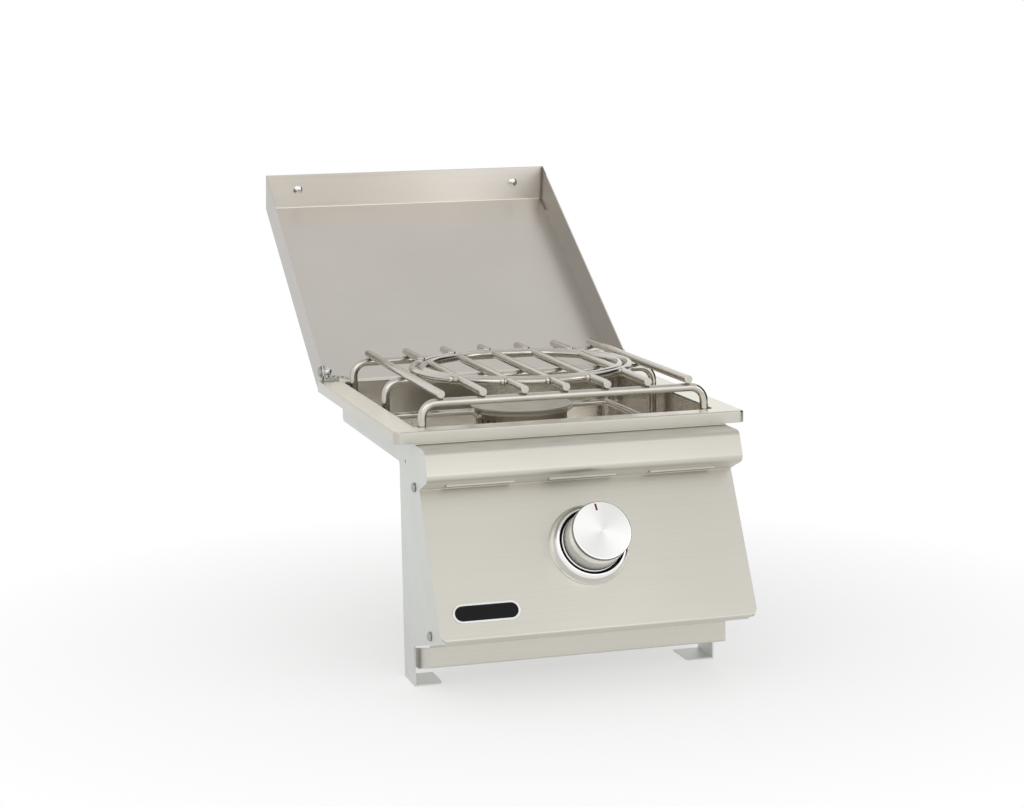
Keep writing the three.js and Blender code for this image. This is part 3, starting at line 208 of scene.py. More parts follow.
def shade(colour, level):
    """A colour made darker or lighter by a factor."""
    return [min(1.0, channel * level) for channel in colour[:3]] + [1.0]


def new_material(name):
    material = bpy.data.materials.new(name)
    material.use_nodes = True
    material.node_tree.nodes.clear()
    return material


def add_node(material, kind, feeds=None, **settings):
    """A shader node with its settings. Feeds gives each input a value or another node's output."""
    node = material.node_tree.nodes.new("ShaderNode" + kind)
    for key, value in settings.items():
        setattr(node, key, value)
    for key, value in (feeds or {}).items():
        if isinstance(value, bpy.types.NodeSocket):
            material.node_tree.links.new(value, node.inputs[key])
        else:
            node.inputs[key].default_value = value
    return node


def surface(material, **feeds):
    """The material's one shader and its output. A feed has its socket's name in small letters."""
    named = {
        key.replace("_", " ").title().replace("Ior", "IOR"): value for key, value in feeds.items()
    }
    shader = add_node(material, "BsdfPrincipled", named)
    add_node(material, "OutputMaterial", {"Surface": shader.outputs["BSDF"]})
    return material


def maths(material, operation, first, second=0.0):
    return add_node(material, "Math", {0: first, 1: second}, operation=operation).outputs[0]


def product(material, first, *others):
    for other in others:
        first = maths(material, "MULTIPLY", first, other)
    return first


def rest_of(material, value):
    """What is left of 1."""
    return maths(material, "SUBTRACT", 1.0, value)


def ranged(material, value, low, high, start=0.0, end=1.0):
    """Low up to where value is start, high from where it is end, and an even slope between."""
    feeds = {0: value, 1: start, 2: end, 3: low, 4: high}
    return add_node(material, "MapRange", feeds).outputs[0]


def spread(material, noise, low, high):
    """Noise drawn out so that it runs from low to high."""
    return ranged(material, noise, low, high, *NOISE_RANGE)


def past(material, height, step):
    """0 below a step and 1 above it. The step is two heights in millimetres."""
    start, end = step
    return ranged(material, height, 0.0, 1.0, start * MM, end * MM)


def between(material, height, foot, top):
    """1 between two steps and 0 below and above them."""
    under = rest_of(material, past(material, height, top))
    return product(material, past(material, height, foot), under)


def blended(material, factor, low, high):
    """A colour mix. Low and high are colours or colour outputs."""
    feeds = {0: factor, 6: low, 7: high}
    return add_node(material, "Mix", feeds, data_type="RGBA").outputs[2]


def mottled(material, noise, colour, dark, light):
    """A colour that noise makes darker and lighter by two factors."""
    factor = spread(material, noise, 0, 1)
    return blended(material, factor, shade(colour, dark), shade(colour, light))


def toned(material, colour, tone):
    """A colour, or a colour output, times a tone output."""
    return add_node(material, "VectorMath", {0: colour, 1: tone}, operation="MULTIPLY").outputs[0]


def relief(material, height, strength, depth):
    """The normal of a surface whose height differs by a depth in millimetres."""
    feeds = {"Strength": strength, "Distance": depth * MM, "Height": height}
    return add_node(material, "Bump", feeds).outputs[0]


def streaks(material, along, length, pitch):
    """Noise drawn out along one axis, with the length and pitch of its lines in millimetres."""
    scale = [1 / (pitch * MM)] * 3
    scale["XYZ".index(along)] = 1 / (length * MM)
    place = add_node(material, "TexCoord").outputs["Object"]
    moved = add_node(material, "Mapping", {"Vector": place, "Scale": scale}).outputs[0]
    feeds = {"Vector": moved, "Scale": 1.0, "Detail": 3.0, "Roughness": 0.6}
    return add_node(material, "TexNoise", feeds).outputs[0]


def clouds(material, size, detail=2.0):
    """Soft even noise with features of a size in millimetres."""
    place = add_node(material, "TexCoord").outputs["Object"]
    feeds = {"Vector": place, "Scale": 1 / (size * MM), "Detail": detail, "Roughness": 0.5}
    return add_node(material, "TexNoise", feeds).outputs[0]


def facing(material):
    """Three values, each 1 on some faces and 0 on the rest: those that look left or right, those
    that look up and those that look to the front."""
    normal = add_node(material, "TexCoord").outputs["Normal"]
    # Each pair of limits is how square a face looks that way when it starts to count and when it
    # counts in full
    x, y, z = add_node(material, "SeparateXYZ", {0: normal}).outputs
    sideways = ranged(material, maths(material, "ABSOLUTE", x), 0.0, 1.0, 0.6, 0.8)
    upwards = ranged(material, z, 0.0, 1.0, 0.85, 0.98)
    forwards = ranged(material, maths(material, "MULTIPLY", y, -1.0), 0.0, 1.0, 0.65, 0.78)
    return sideways, upwards, forwards


def about_axis(material, matrix):
    """The angle about the matrix's Z axis, the distance from it and the height along it."""
    place = add_node(material, "TexCoord").outputs["Object"]
    feeds = {"Vector": place, "Location": matrix.translation, "Rotation": matrix.to_euler()}
    local = add_node(material, "Mapping", feeds, vector_type="TEXTURE").outputs[0]
    x, y, height = add_node(material, "SeparateXYZ", {0: local}).outputs
    flat = add_node(material, "CombineXYZ", {0: x, 1: y}).outputs[0]
    radius = add_node(material, "VectorMath", {0: flat}, operation="LENGTH").outputs["Value"]
    return maths(material, "ARCTAN2", y, x), radius, height


# Metals and finishes


def brushed_stainless(
    name, colour, contrast=1.0, side_painted_shade=1.0, top_painted_highlight=1.0, front_painted_highlight=1.0, weld=None
):
    """304 stainless sheet, belt brushed: along X, and along Y on the faces that look sideways. Fine
    parallel lines draw out what it mirrors across the grain, and broad soft clouds come from rolling
    and handling. The real lines are about 0.2 mm apart and are drawn 0.8 mm apart so that they show.
    The tones are painted light and shade: factors that make the faces that look sideways, up
    and to the front darker or brighter than the rest, as light falls on them. Weld is where it
    has a brown mark, if it has one."""
    material = new_material(name)
    sideways, upwards, forwards = facing(material)
    feeds = {0: sideways, 2: streaks(material, "X", 160, 0.8), 3: streaks(material, "Y", 160, 0.8)}
    line = add_node(material, "Mix", feeds).outputs[0]
    dark, light = shade(colour, 1 - 0.03 * contrast), shade(colour, 1 + 0.02 * contrast)
    lines = blended(material, ranged(material, line, 0, 1, 0.34, 0.66), dark, light)
    # Random clouds times the painted tones: painted shade on the sides, painted highlights on top and
    # in front
    tone = product(
        material,
        spread(material, clouds(material, 150), 1 - 0.03 * contrast, 1 + 0.03 * contrast),
        ranged(material, sideways, 1.0, side_painted_shade),
        ranged(material, upwards, 1.0, top_painted_highlight),
        ranged(material, forwards, 1.0, front_painted_highlight),
    )
    colours = toned(material, lines, tone)
    if weld:
        mark = product(material, heat_mark(material, *weld), rest_of(material, sideways))
        colours = blended(material, mark, colours, linear("6b4a30") + [1])
    grain = add_node(material, "CombineXYZ", {0: rest_of(material, sideways), 1: sideways})
    return surface(
        material, base_color=colours, metallic=1.0, roughness=spread(material, line, 0.31, 0.37),
        normal=relief(material, line, 0.05 * contrast, 0.1),
        anisotropic=0.6, anisotropic_rotation=0.25, tangent=grain.outputs[0],
    )


def heat_mark(material, corner_x, corner_y):
    """The brown line that welding leaves along a corner, from corner_y on."""
    place = add_node(material, "TexCoord").outputs["Object"]
    x, y, _ = add_node(material, "SeparateXYZ", {0: place}).outputs
    start, end = (corner_x - inset * MM for inset in WELD_MARK)
    near = ranged(material, x, 0.0, 0.75, start, end)
    return product(material, near, ranged(material, y, 0.0, 1.0, corner_y, corner_y + 1 * MM))


def drawn_stainless(name, colour):
    """Deep drawn stainless sheet: the press leaves it smooth and only a little cloudy."""
    material = new_material(name)
    cloud = clouds(material, 45, 3.0)
    return surface(
        material, base_color=mottled(material, cloud, colour, 0.94, 1.04), metallic=1.0,
        roughness=spread(material, cloud, 0.17, 0.25), normal=relief(material, cloud, 0.05, 0.4),
    )


def mill_stainless(name, colour):
    """Cold rolled sheet left with its dull mill finish: even, pale and without brush lines."""
    material = new_material(name)
    cloud = clouds(material, 60, 3.0)
    grit = clouds(material, 0.9)
    return surface(
        material, base_color=mottled(material, cloud, colour, 0.96, 1.03), metallic=0.9,
        roughness=spread(material, grit, 0.44, 0.54), normal=relief(material, grit, 0.05, 0.1),
    )


def drawn_rod(name, colour):
    """Stainless rod as the drawing bench leaves it and polishing evens it: bright, with a soft sheen
    that is a little uneven from the handling of the welded piece."""
    material = new_material(name)
    cloud = clouds(material, 22)
    return surface(
        material, base_color=mottled(material, cloud, colour, 0.93, 1.04), metallic=1.0,
        roughness=spread(material, cloud, 0.15, 0.21),
    )


def polished_chrome(name, colour, roughness=0.07):
    """Bright chrome plate over a polished casting: a near mirror with the faintest swirl."""
    material = new_material(name)
    swirl = clouds(material, 7, 3.0)
    return surface(
        material, base_color=mottled(material, swirl, colour, 0.97, 1.0), metallic=1.0,
        roughness=ranged(material, swirl, roughness, roughness + 0.05, 0.35, 0.65),
        normal=relief(material, swirl, 0.03, 0.3),
    )


def turned_metal(name, colour, matrix, roughness=0.2, pitch=0.6):
    """Metal faced on a lathe, with rings about its axis. The real tool marks are about 0.1 mm apart
    and are drawn wider so that they show."""
    material = new_material(name)
    _, radius, height = about_axis(material, matrix)
    way = product(material, maths(material, "ADD", radius, height), 1 / (pitch * MM))
    feeds = {"W": way, "Scale": 1.0, "Detail": 2.0}
    rings = add_node(material, "TexNoise", feeds, noise_dimensions="1D").outputs[0]
    return surface(
        material, base_color=mottled(material, rings, colour, 0.93, 1.03), metallic=1.0,
        roughness=spread(material, rings, roughness - 0.04, roughness + 0.06),
        normal=relief(material, rings, 0.05, 0.2),
    )


def knurled_chrome(name, colour, matrix):
    """Satin chrome on a turned knob, with light and shade painted into its colour. Its face has a
    painted sheen in light and dark sectors, as a lathe's fine rings give. A groove under its edge is
    drawn only as a dark band of painted shade, its edge is painted darker as shade, and its skirt is
    painted dark where it stands in the bezel's shade. Its grip is knurled, with painted shade in the
    knurl's valleys.
    The real knurl is 0.8 mm, drawn 3 mm."""
    material = new_material(name)
    angle, _, height = about_axis(material, matrix)
    grip = between(material, height, GRIP_FOOT, GRIP_TOP)
    # Between the groove's steps the knob is painted shade, 0.08 as bright
    groove = between(material, height, GROOVE_SHADE_FOOT, GROOVE_SHADE_TOP)
    face = past(material, height, FACE_FOOT)
    # On the edge's band the knob is painted shade, 0.3 as bright
    edge = product(material, past(material, height, EDGE_SHADE_FOOT), rest_of(material, face))
    # The face's painted sheen: light and dark sectors drawn into its colour
    turn = maths(material, "ADD", product(material, angle, 2.0), 2.6)
    painted_fan_sheen = product(material, maths(material, "SINE", turn), face)
    around = product(material, angle, KNURLS_ROUND)
    upwards = product(material, height, 2 * math.pi / (KNURL_HEIGHT * MM))
    waves = [
        maths(material, "SINE", maths(material, way, around, upwards)) for way in ("ADD", "SUBTRACT")
    ]
    knurl = ranged(material, product(material, *waves), 0.0, 1.0, -0.6, 0.6)
    # The knurl's valleys are painted with shade, down to 0.6 as bright
    valley_shade = product(material, grip, ranged(material, knurl, 0.4, 0.0))
    tone = product(
        material,
        ranged(material, painted_fan_sheen, 0.9, 1.1, -1.0, 1.0),
        rest_of(material, valley_shade),
        ranged(material, groove, 1.0, 0.08),
        ranged(material, edge, 1.0, 0.3),
        # Below the skirt's step the knob is painted dark, 0.1 as bright: the bezel's shade
        ranged(material, past(material, height, SKIRT_SHADE_TOP), 0.1, 1.0),
    )
    return surface(
        material, base_color=toned(material, colour, tone), metallic=1.0,
        roughness=ranged(material, grip, 0.2, 0.42),
        normal=relief(material, product(material, grip, knurl), 0.4, 0.3),
    )


def cup_chrome(name, colour, matrix, bore):
    """Chrome plate polished by hand on the ring of a cup. The cup's inside is a dull near black that
    is painted shade, standing for the dark gap round the knob.
    """
    material = new_material(name)
    radius = about_axis(material, matrix)[1]
    outside = past(material, radius, (bore - 0.3, bore))
    swirl = clouds(material, 9)
    bright = blended(material, swirl, shade(colour, 0.95), shade(colour, 1.0))
    return surface(
        # Inside the bore the colour is near black and dull: painted shade
        material, base_color=blended(material, outside, [0.008, 0.008, 0.008, 1], bright),
        metallic=outside, roughness=ranged(material, outside, 0.6, 0.13),
        normal=relief(material, swirl, 0.04, 0.3),
    )


def zinc_plate(name, colour):
    """Zinc plated steel: bluish grey, with the small spangle that plating leaves."""
    material = new_material(name)
    spangle = clouds(material, 2.2)
    return surface(
        material, base_color=mottled(material, spangle, colour, 0.85, 1.1), metallic=1.0,
        roughness=spread(material, spangle, 0.26, 0.42),
    )


def sand_casting(name, colour):
    """Aluminium as it leaves a sand mould: pale, dull and grainy."""
    material = new_material(name)
    grain = clouds(material, 0.9, 4.0)
    return surface(
        material, base_color=mottled(material, grain, colour, 0.8, 1.1), metallic=0.9,
        roughness=spread(material, grain, 0.48, 0.66), normal=relief(material, grain, 0.35, 0.3),
    )


def fired_enamel(name, colour, roughness=0.12, sheen=0.5):
    """Vitreous enamel on a pressed plate: deep, glossy and very slightly wavy."""
    material = new_material(name)
    wave = clouds(material, 9, 1.0)
    return surface(
        material, base_color=blended(material, wave, shade(colour, 0.9), shade(colour, 1.15)),
        roughness=ranged(material, wave, roughness, roughness + 0.08),
        normal=relief(material, wave, 0.05, 0.4), specular_ior_level=sheen,
    )


# Shapes


def shade_by_angle(bm):
    """Smooth faces, with every sharper edge left crisp."""
    for face in bm.faces:
        face.smooth = True
    for edge in bm.edges:
        if len(edge.link_faces) == 2:
            edge.smooth = edge.calc_face_angle() < math.radians(CRISP_ANGLE)


def bevel(bm, edges, width, segments):
    bmesh.ops.bevel(
        bm, geom=edges, offset=width, segments=segments, profile=0.5,
        affect="EDGES", material=-1, clamp_overlap=True,
    )


def round_edges(bm, width):
    sharp = [
        edge for edge in bm.edges
        if len(edge.link_faces) == 2 and edge.calc_face_angle() > math.radians(ROUNDED_ANGLE)
    ]
    bevel(bm, sharp, width, 2)


def merge_points(bm):
    bmesh.ops.remove_doubles(bm, verts=bm.verts, dist=SAME_PLACE * MM)


def new_object(name, bm, material):
    mesh = bpy.data.meshes.new(name)
    bm.to_mesh(mesh)
    bm.free()
    made = bpy.data.objects.new(name, mesh)
    bpy.context.scene.collection.objects.link(made)
    mesh.materials.append(material)
    return made


def make_piece(name, bm, body, material, nodes=()):
    """An object made of bm, which rides on its body and stands for the CAD nodes that it replaces."""
    shade_by_angle(bm)
    piece = new_object(name, bm, material)
    even = piece.modifiers.new("even shading", "WEIGHTED_NORMAL")
    even.keep_sharp = True
    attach(piece, body)
    if nodes:
        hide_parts(*nodes)


def body_of(node):
    return NODES[node]["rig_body"]


def edged_copy(node, material, width, reshape=None):
    """The CAD solid with its edges broken, as deburred sheet and machined metal have them. Reshape
    may move its points first."""
    bm = bmesh.new()
    bm.from_mesh(NODES[node].data)
    merge_points(bm)
    if reshape:
        reshape(bm)
    bmesh.ops.dissolve_limit(
        bm, angle_limit=math.radians(0.4), verts=bm.verts, edges=bm.edges,
    )
    round_edges(bm, width)
    make_piece(node + "_finished", bm, body_of(node), material, [node])


def rod(bm, start, end, radius, sides, ground=0.7 * MM):
    """A straight rod with softly ground ends."""
    start, end = Vector(start), Vector(end)
    run = end - start
    turn = Vector((0, 0, 1)).rotation_difference(run.normalized()).to_matrix().to_4x4()
    matrix = Matrix.Translation((start + end) / 2) @ turn
    made = bmesh.ops.create_cone(
        bm, cap_ends=True, cap_tris=False, segments=sides,
        radius1=radius, radius2=radius, depth=run.length, matrix=matrix,
    )
    ends = {edge for vert in made["verts"] for edge in vert.link_edges if is_end(edge)}
    bevel(bm, list(ends), ground, 3)


def is_end(edge):
    """True at the edge of a rod's flat end, whose face has more corners than its side faces."""
    return any(len(face.verts) > 4 for face in edge.link_faces)


def spin_about(bm, parts, matrix, steps):
    """Carries points and edges once round the matrix's Z axis."""
    bmesh.ops.spin(
        bm, geom=parts, cent=matrix.translation, axis=matrix.to_3x3().col[2],
        angle=2 * math.pi, steps=steps, use_merge=True,
    )
    merge_points(bm)
    bmesh.ops.recalc_face_normals(bm, faces=bm.faces)


def spun(bm, profile, matrix):
    """Spins a profile of (radius, height) in millimetres about the matrix's Z axis."""
    points = [bm.verts.new(matrix @ Vector((r * MM, 0, z * MM))) for r, z in profile]
    lines = [bm.edges.new(pair) for pair in zip(points, points[1:])]
    spin_about(bm, points + lines, matrix, TURNED_STEPS)


def torus(bm, matrix, radius, wire, sides):
    """A ring of round wire about the matrix's Z axis."""
    made = bmesh.ops.create_circle(
        bm, segments=sides, radius=wire,
        matrix=matrix @ Matrix.Translation((radius, 0, 0)) @ Matrix.Rotation(math.pi / 2, 4, "X"),
    )
    spin_about(bm, made["verts"] + edges_at(made["verts"]), matrix, TURNED_STEPS)


def edges_at(verts):
    return list({edge for vert in verts for edge in vert.link_edges})


def carry_on(bm, edges, move):
    """Draws a loop of edges out straight, and gives the new loop."""
    made = bmesh.ops.extrude_edge_only(bm, edges=edges)["geom"]
    verts = [part for part in made if isinstance(part, bmesh.types.BMVert)]
    bmesh.ops.translate(bm, verts=verts, vec=move)
    return [part for part in made if isinstance(part, bmesh.types.BMEdge)]


def carry_round(bm, edges, centre, axis, angle):
    """Draws a loop of edges round a bend, and gives the new loop."""
    verts = list({vert for edge in edges for vert in edge.verts})
    made = bmesh.ops.spin(
        bm, geom=verts + edges, cent=centre, axis=axis, angle=angle, steps=BEND_STEPS,
    )["geom_last"]
    return [part for part in made if isinstance(part, bmesh.types.BMEdge)]


def bent_rod(bm, corners, bend, radius, sides):
    """A round rod that is bent at each inner corner and sawn off square at its ends."""
    points = [Vector(corner) for corner in corners]
    runs = [(after - before).normalized() for before, after in zip(points, points[1:])]
    turns = [first.angle(second) for first, second in zip(runs, runs[1:])]
    cuts = [bend * math.tan(turn / 2) for turn in turns] + [0.0]
    upright = Vector((0, 0, 1)).rotation_difference(runs[0]).to_matrix().to_4x4()
    made = bmesh.ops.create_circle(
        bm, cap_ends=False, segments=sides, radius=radius,
        matrix=Matrix.Translation(points[0]) @ upright,
    )
    loop = edges_at(made["verts"])
    bmesh.ops.contextual_create(bm, geom=loop)
    place = points[0]
    for step, run in enumerate(runs):
        reach = points[step + 1] - cuts[step] * run
        loop = carry_on(bm, loop, reach - place)
        if step < len(turns):
            axis = run.cross(runs[step + 1]).normalized()
            loop = carry_round(bm, loop, reach + bend * axis.cross(run), axis, turns[step])
            place = points[step + 1] + cuts[step] * runs[step + 1]
    bmesh.ops.contextual_create(bm, geom=loop)
    bmesh.ops.recalc_face_normals(bm, faces=bm.faces)


def weld_bead(bm, place, size, stretch=(1, 1, 0.8)):
    """A small smooth mound where two rods are welded."""
    matrix = Matrix.Translation(place) @ Matrix.Diagonal((*stretch, 1))
    bmesh.ops.create_icosphere(bm, subdivisions=2, radius=size, matrix=matrix)


# What a user would change


def length_setting(name, description, default, low, high):
    """A length in millimetres, with the least and the most that it may be."""
    return FloatProperty(
        name=name, description=description, default=default * MM, min=low * MM, max=high * MM,
        precision=5, subtype="DISTANCE", unit="LENGTH",
    )


def colour_setting(name, description, default):
    return FloatVectorProperty(
        name=name, description=description, default=linear(default),
        size=3, min=0, max=1, subtype="COLOR",
    )


class BurnerSizes(PropertyGroup):
    edge_break: length_setting("Edge break", "Width of the broken edges of sheet", 0.3, 0.05, 1)
    brace_bend: length_setting("Brace bend", "Bend radius of the burner's braces", 4.4, 3.5, 8)
    support_bend: length_setting("Support bend", "Bend radius of the grate's supports", 14, 6, 30)
    ring_spacing: length_setting("Ring spacing", "Distance between the grate's rings", 9.9, 8, 20)
    weld_size: length_setting("Weld size", "Radius of the weld mounds on the grate", 3.3, 1, 4)
    rod_sides: IntProperty(
        name="Rod sides", description="Facets round a rod of the grate", default=20, min=8, max=48,
    )


class BurnerColours(PropertyGroup):
    steel: colour_setting("Brushed steel", "Colour of the control panel and valance", "cbc8bf")
    # The rim's top is painted brighter as a highlight in the rim's material
    rim: colour_setting("Rim steel", "Colour of the rim, whose top is painted brighter as a highlight", "c3c0b7")
    lid: colour_setting("Lid steel", "Colour of the lid's sheet", "d8d3cc")
    plate: colour_setting("Side plates", "Colour of the mill finished side plates", "d3d5d1")
    pan: colour_setting("Pan", "Colour of the deep drawn pan", "d6d1c7")
    rods: colour_setting("Rods", "Colour of the grate's rods and of the braces", "c6c2ba")
    pointer: colour_setting("Pointer", "Colour of the line on the knob", "7c1519")


class BurnerOperator:
    """What the operators share: their settings."""

    @property
    def sizes(self):
        return bpy.context.scene.side_burner_sizes

    @property
    def colours(self):
        return bpy.context.scene.side_burner_colours


# The object's pieces


class SIDEBURNER_OT_sheet_metal(BurnerOperator, Operator):
    """Rim, pan, control panel, side plates and valance in their sheet metals"""

    bl_idname = "sideburner.sheet_metal"
    bl_label = "Sheet metal"

    def execute(self, context):
        steel = brushed_stainless("brushed stainless", self.colours.steel)
        # The rim's upward faces are painted 1.55 times as bright: a painted highlight
        rim = brushed_stainless("brushed stainless of the rim with a painted top highlight", self.colours.rim, top_painted_highlight=1.55)
        width = self.sizes.edge_break
        fold = 1.8 * width
        edged_copy("rim_frame", rim, fold)
        edged_copy("control_panel", steel, fold)
        edged_copy("lower_valance", steel, fold, self.deepen_returns)
        self.slot_hoods(steel)
        plate = mill_stainless("mill finish stainless", self.colours.plate)
        for side in SIDES:
            edged_copy("side_plate_" + side, plate, width)
        pan = drawn_stainless("drawn stainless", self.colours.pan)
        edged_copy("burner_pan", pan, width)
        return {"FINISHED"}

    def deepen_returns(self, bm):
        """Carries the valance's turned back ends on under the side plates, along its own slope."""
        for vert in bm.verts:
            beyond = abs(vert.co.x) > RETURN_X * MM
            if beyond and abs(vert.co.y - RETURN_Y * MM) < 0.2 * MM:
                vert.co += Vector((0, *RETURN_CARRIED)) * MM

    def slot_hoods(self, steel):
        """The pressed hood over each vent slot: a low wedge that opens to the front."""
        run = Vector((0, *SLOPE)).normalized()
        out = Vector((0, run.z, -run.y))
        corners = ((HOOD_FRONT, HOOD_FOOT), (HOOD_FRONT, HOOD_CREST), (HOOD_BACK, HOOD_FOOT))
        bm = bmesh.new()
        for step in (-1, 0, 1):
            left = Vector((step * HOOD_PITCH - HOOD_LENGTH / 2, *WAIST))
            verts = [bm.verts.new((left + reach * run + up * out) * MM) for reach, up in corners]
            made = bmesh.ops.extrude_face_region(bm, geom=[bm.faces.new(verts)])["geom"]
            moved = [part for part in made if isinstance(part, bmesh.types.BMVert)]
            bmesh.ops.translate(bm, verts=moved, vec=(HOOD_LENGTH * MM, 0, 0))
        bmesh.ops.recalc_face_normals(bm, faces=bm.faces)
        round_edges(bm, 0.3 * MM)
        make_piece("panel_slot_hoods", bm, body_of("control_panel"), steel)


class SIDEBURNER_OT_lid(BurnerOperator, Operator):
    """Tray lid, with the brown mark that welding left in its front right corner, and its handle"""

    bl_idname = "sideburner.lid"
    bl_label = "Lid"

    def execute(self, context):
        width = self.sizes.edge_break
        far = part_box("lid_panel")[1]
        # The lid's sideways faces are painted darker as shade, and its front faces brighter as a
        # highlight
        steel = brushed_stainless(
            "brushed stainless of the lid", self.colours.lid, contrast=0.8, side_painted_shade=0.6,
            front_painted_highlight=1.25, weld=(far.x, far.y - LID_CORNER * MM),
        )
        edged_copy("lid_panel", steel, width)
        bar = brushed_stainless("brushed stainless of the handle", self.colours.steel)
        edged_copy("lid_handle", bar, width)
        return {"FINISHED"}


class SIDEBURNER_OT_grate(BurnerOperator, Operator):
    """Welded grate: bars, double ring and bent supports, with the weld beads that show"""

    bl_idname = "sideburner.grate"
    bl_label = "Grate"

    def execute(self, context):
        material = drawn_rod("bright drawn stainless rod", self.colours.rods)
        self.ring_and_bars(material)
        for side in SIDES:
            node = "grate_side_bar_" + side
            bm = bmesh.new()
            self.bar(bm, middle(node).x, GRATE_LOW.y, GRATE_HIGH.y)
            make_piece(node + "_rod", bm, "grate", material, [node])
        for place in ("front", "middle", "rear"):
            self.support("grate_support_" + place, material)
        return {"FINISHED"}

    def bar(self, bm, x, front, rear):
        rod(bm, (x, front, BAR_Z), (x, rear, BAR_Z), ROD_RADIUS, self.sizes.rod_sides)

    def ring_and_bars(self, material):
        """The rings stay whole: each bar has a run inside the inner ring and a stub at each end."""
        bm = bmesh.new()
        centre = Matrix.Translation((0, GRATE_Y, BAR_Z))
        inner = RING_RADIUS - self.sizes.ring_spacing
        for radius in (RING_RADIUS, inner):
            torus(bm, centre, radius, ROD_RADIUS, self.sizes.rod_sides)
        for step in range(1 - BARS_EACH_SIDE, BARS_EACH_SIDE):
            x = step * BAR_PITCH
            within, beyond = (math.sqrt(radius**2 - x**2) for radius in (inner, RING_RADIUS))
            self.bar(bm, x, GRATE_Y - within, GRATE_Y + within)
            self.bar(bm, x, GRATE_LOW.y, GRATE_Y - beyond)
            self.bar(bm, x, GRATE_Y + beyond, GRATE_HIGH.y)
            self.ring_welds(bm, x)
        nodes = ["grate_ring_and_bars"]
        make_piece("grate_ring_and_bars_rods", bm, "grate", material, nodes)

    def ring_welds(self, bm, x):
        """One bead beside each bar, on the outer ring's flank and on its crest at the back."""
        size = self.sizes.weld_size
        beside = x - ROD_RADIUS - 0.4 * size
        reach = math.sqrt(RING_RADIUS**2 - beside**2)
        ring = Vector((0, GRATE_Y, BAR_Z))
        flank = Vector((beside, -reach, 0)) * (1 + ROD_RADIUS / RING_RADIUS)
        crest = Vector((beside, reach, 0.85 * ROD_RADIUS))
        weld_bead(bm, ring + flank, size, (0.8, 0.8, 1.4))
        weld_bead(bm, ring + crest, size, (1.3, 1, 0.8))

    def support(self, node, material):
        """A rod bent down at both ends, which stands in the pan under the bars."""
        low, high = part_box(node)
        x, y, top = high.x - ROD_RADIUS, (low.y + high.y) / 2, high.z - ROD_RADIUS
        bm = bmesh.new()
        corners = [(-x, y, low.z), (-x, y, top), (x, y, top), (x, y, low.z)]
        bent_rod(bm, corners, self.sizes.support_bend, ROD_RADIUS, self.sizes.rod_sides)
        make_piece(node + "_rod", bm, "grate", material, [node])


class SIDEBURNER_OT_burner(BurnerOperator, Operator):
    """Burner drum and cap, its braces and the igniter beside it"""

    bl_idname = "sideburner.burner"
    bl_label = "Burner"

    def execute(self, context):
        width = self.sizes.edge_break
        casting = turned_metal("cast and turned burner", linear("a9a294"), BURNER, 0.34, pitch=1.4)
        edged_copy("burner_head", casting, width)
        self.cap()
        self.braces()
        zinc = zinc_plate("zinc plated igniter", linear("a9aba8"))
        edged_copy("igniter_bracket", zinc, width)
        edged_copy("igniter_electrode", zinc, width / 3)
        glaze = fired_enamel("glazed ceramic", linear("e9e5da"))
        edged_copy("igniter_insulator", glaze, width)
        return {"FINISHED"}

    def cap(self):
        """A turned disc with a flared rim, over a thin round wall that sits in the drum."""
        steel = turned_metal("turned stainless cap", linear("d4d0c6"), BURNER, 0.46, pitch=2.2)
        low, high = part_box("burner_cap")
        radius, top, foot = high.x / MM, high.z / MM, low.z / MM
        outer, inner = (radius - inset for inset in CAP_WALL)
        under = top - CAP_THICKNESS
        flare = [(radius - inset, top - drop) for inset, drop in CAP_FLARE]
        bm = bmesh.new()
        wall = [(outer, foot), (inner, foot), (inner, under)]
        spun(bm, [(0, top), *flare, *wall, (0, under)], BURNER)
        make_piece("burner_cap_turned", bm, "burner_lid", steel, ["burner_cap"])

    def braces(self):
        """Round rods from the pan's left wall and from the rail to the drum, under the cap."""
        material = drawn_rod("bright drawn brace rod", self.colours.rods)
        sides = self.sizes.rod_sides
        rail_low, rail_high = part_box("burner_rail")
        radius = (rail_high.x - rail_low.x) / 2
        knee = CAP_RADIUS + KNEE_CLEARANCE * MM
        for side, sign in SIDES.items():
            node = "burner_brace_" + side
            low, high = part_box(node)
            y = (low.y + high.y) / 2
            outer, inner = sorted((abs(low.x), abs(high.x)), reverse=True)
            top, foot = high.z - radius, low.z + radius
            path = [(outer, top), (knee, top), (knee - KNEE_LENGTH * MM, foot), (inner, foot)]
            bm = bmesh.new()
            corners = [(sign * reach, y, height) for reach, height in path]
            bent_rod(bm, corners, self.sizes.brace_bend, radius, sides)
            make_piece(node + "_rod", bm, body_of(node), material, [node])
        x, z = rail_low.x + radius, rail_low.z + radius
        bm = bmesh.new()
        rod(bm, (x, rail_low.y, z), (x, rail_high.y, z), radius, sides)
        corner = (x - 0.9 * radius, middle("burner_brace_right").y - 0.7 * radius, z)
        weld_bead(bm, corner, self.sizes.weld_size)
        rail = "burner_rail"
        make_piece(rail + "_rod", bm, body_of(rail), material, [rail])


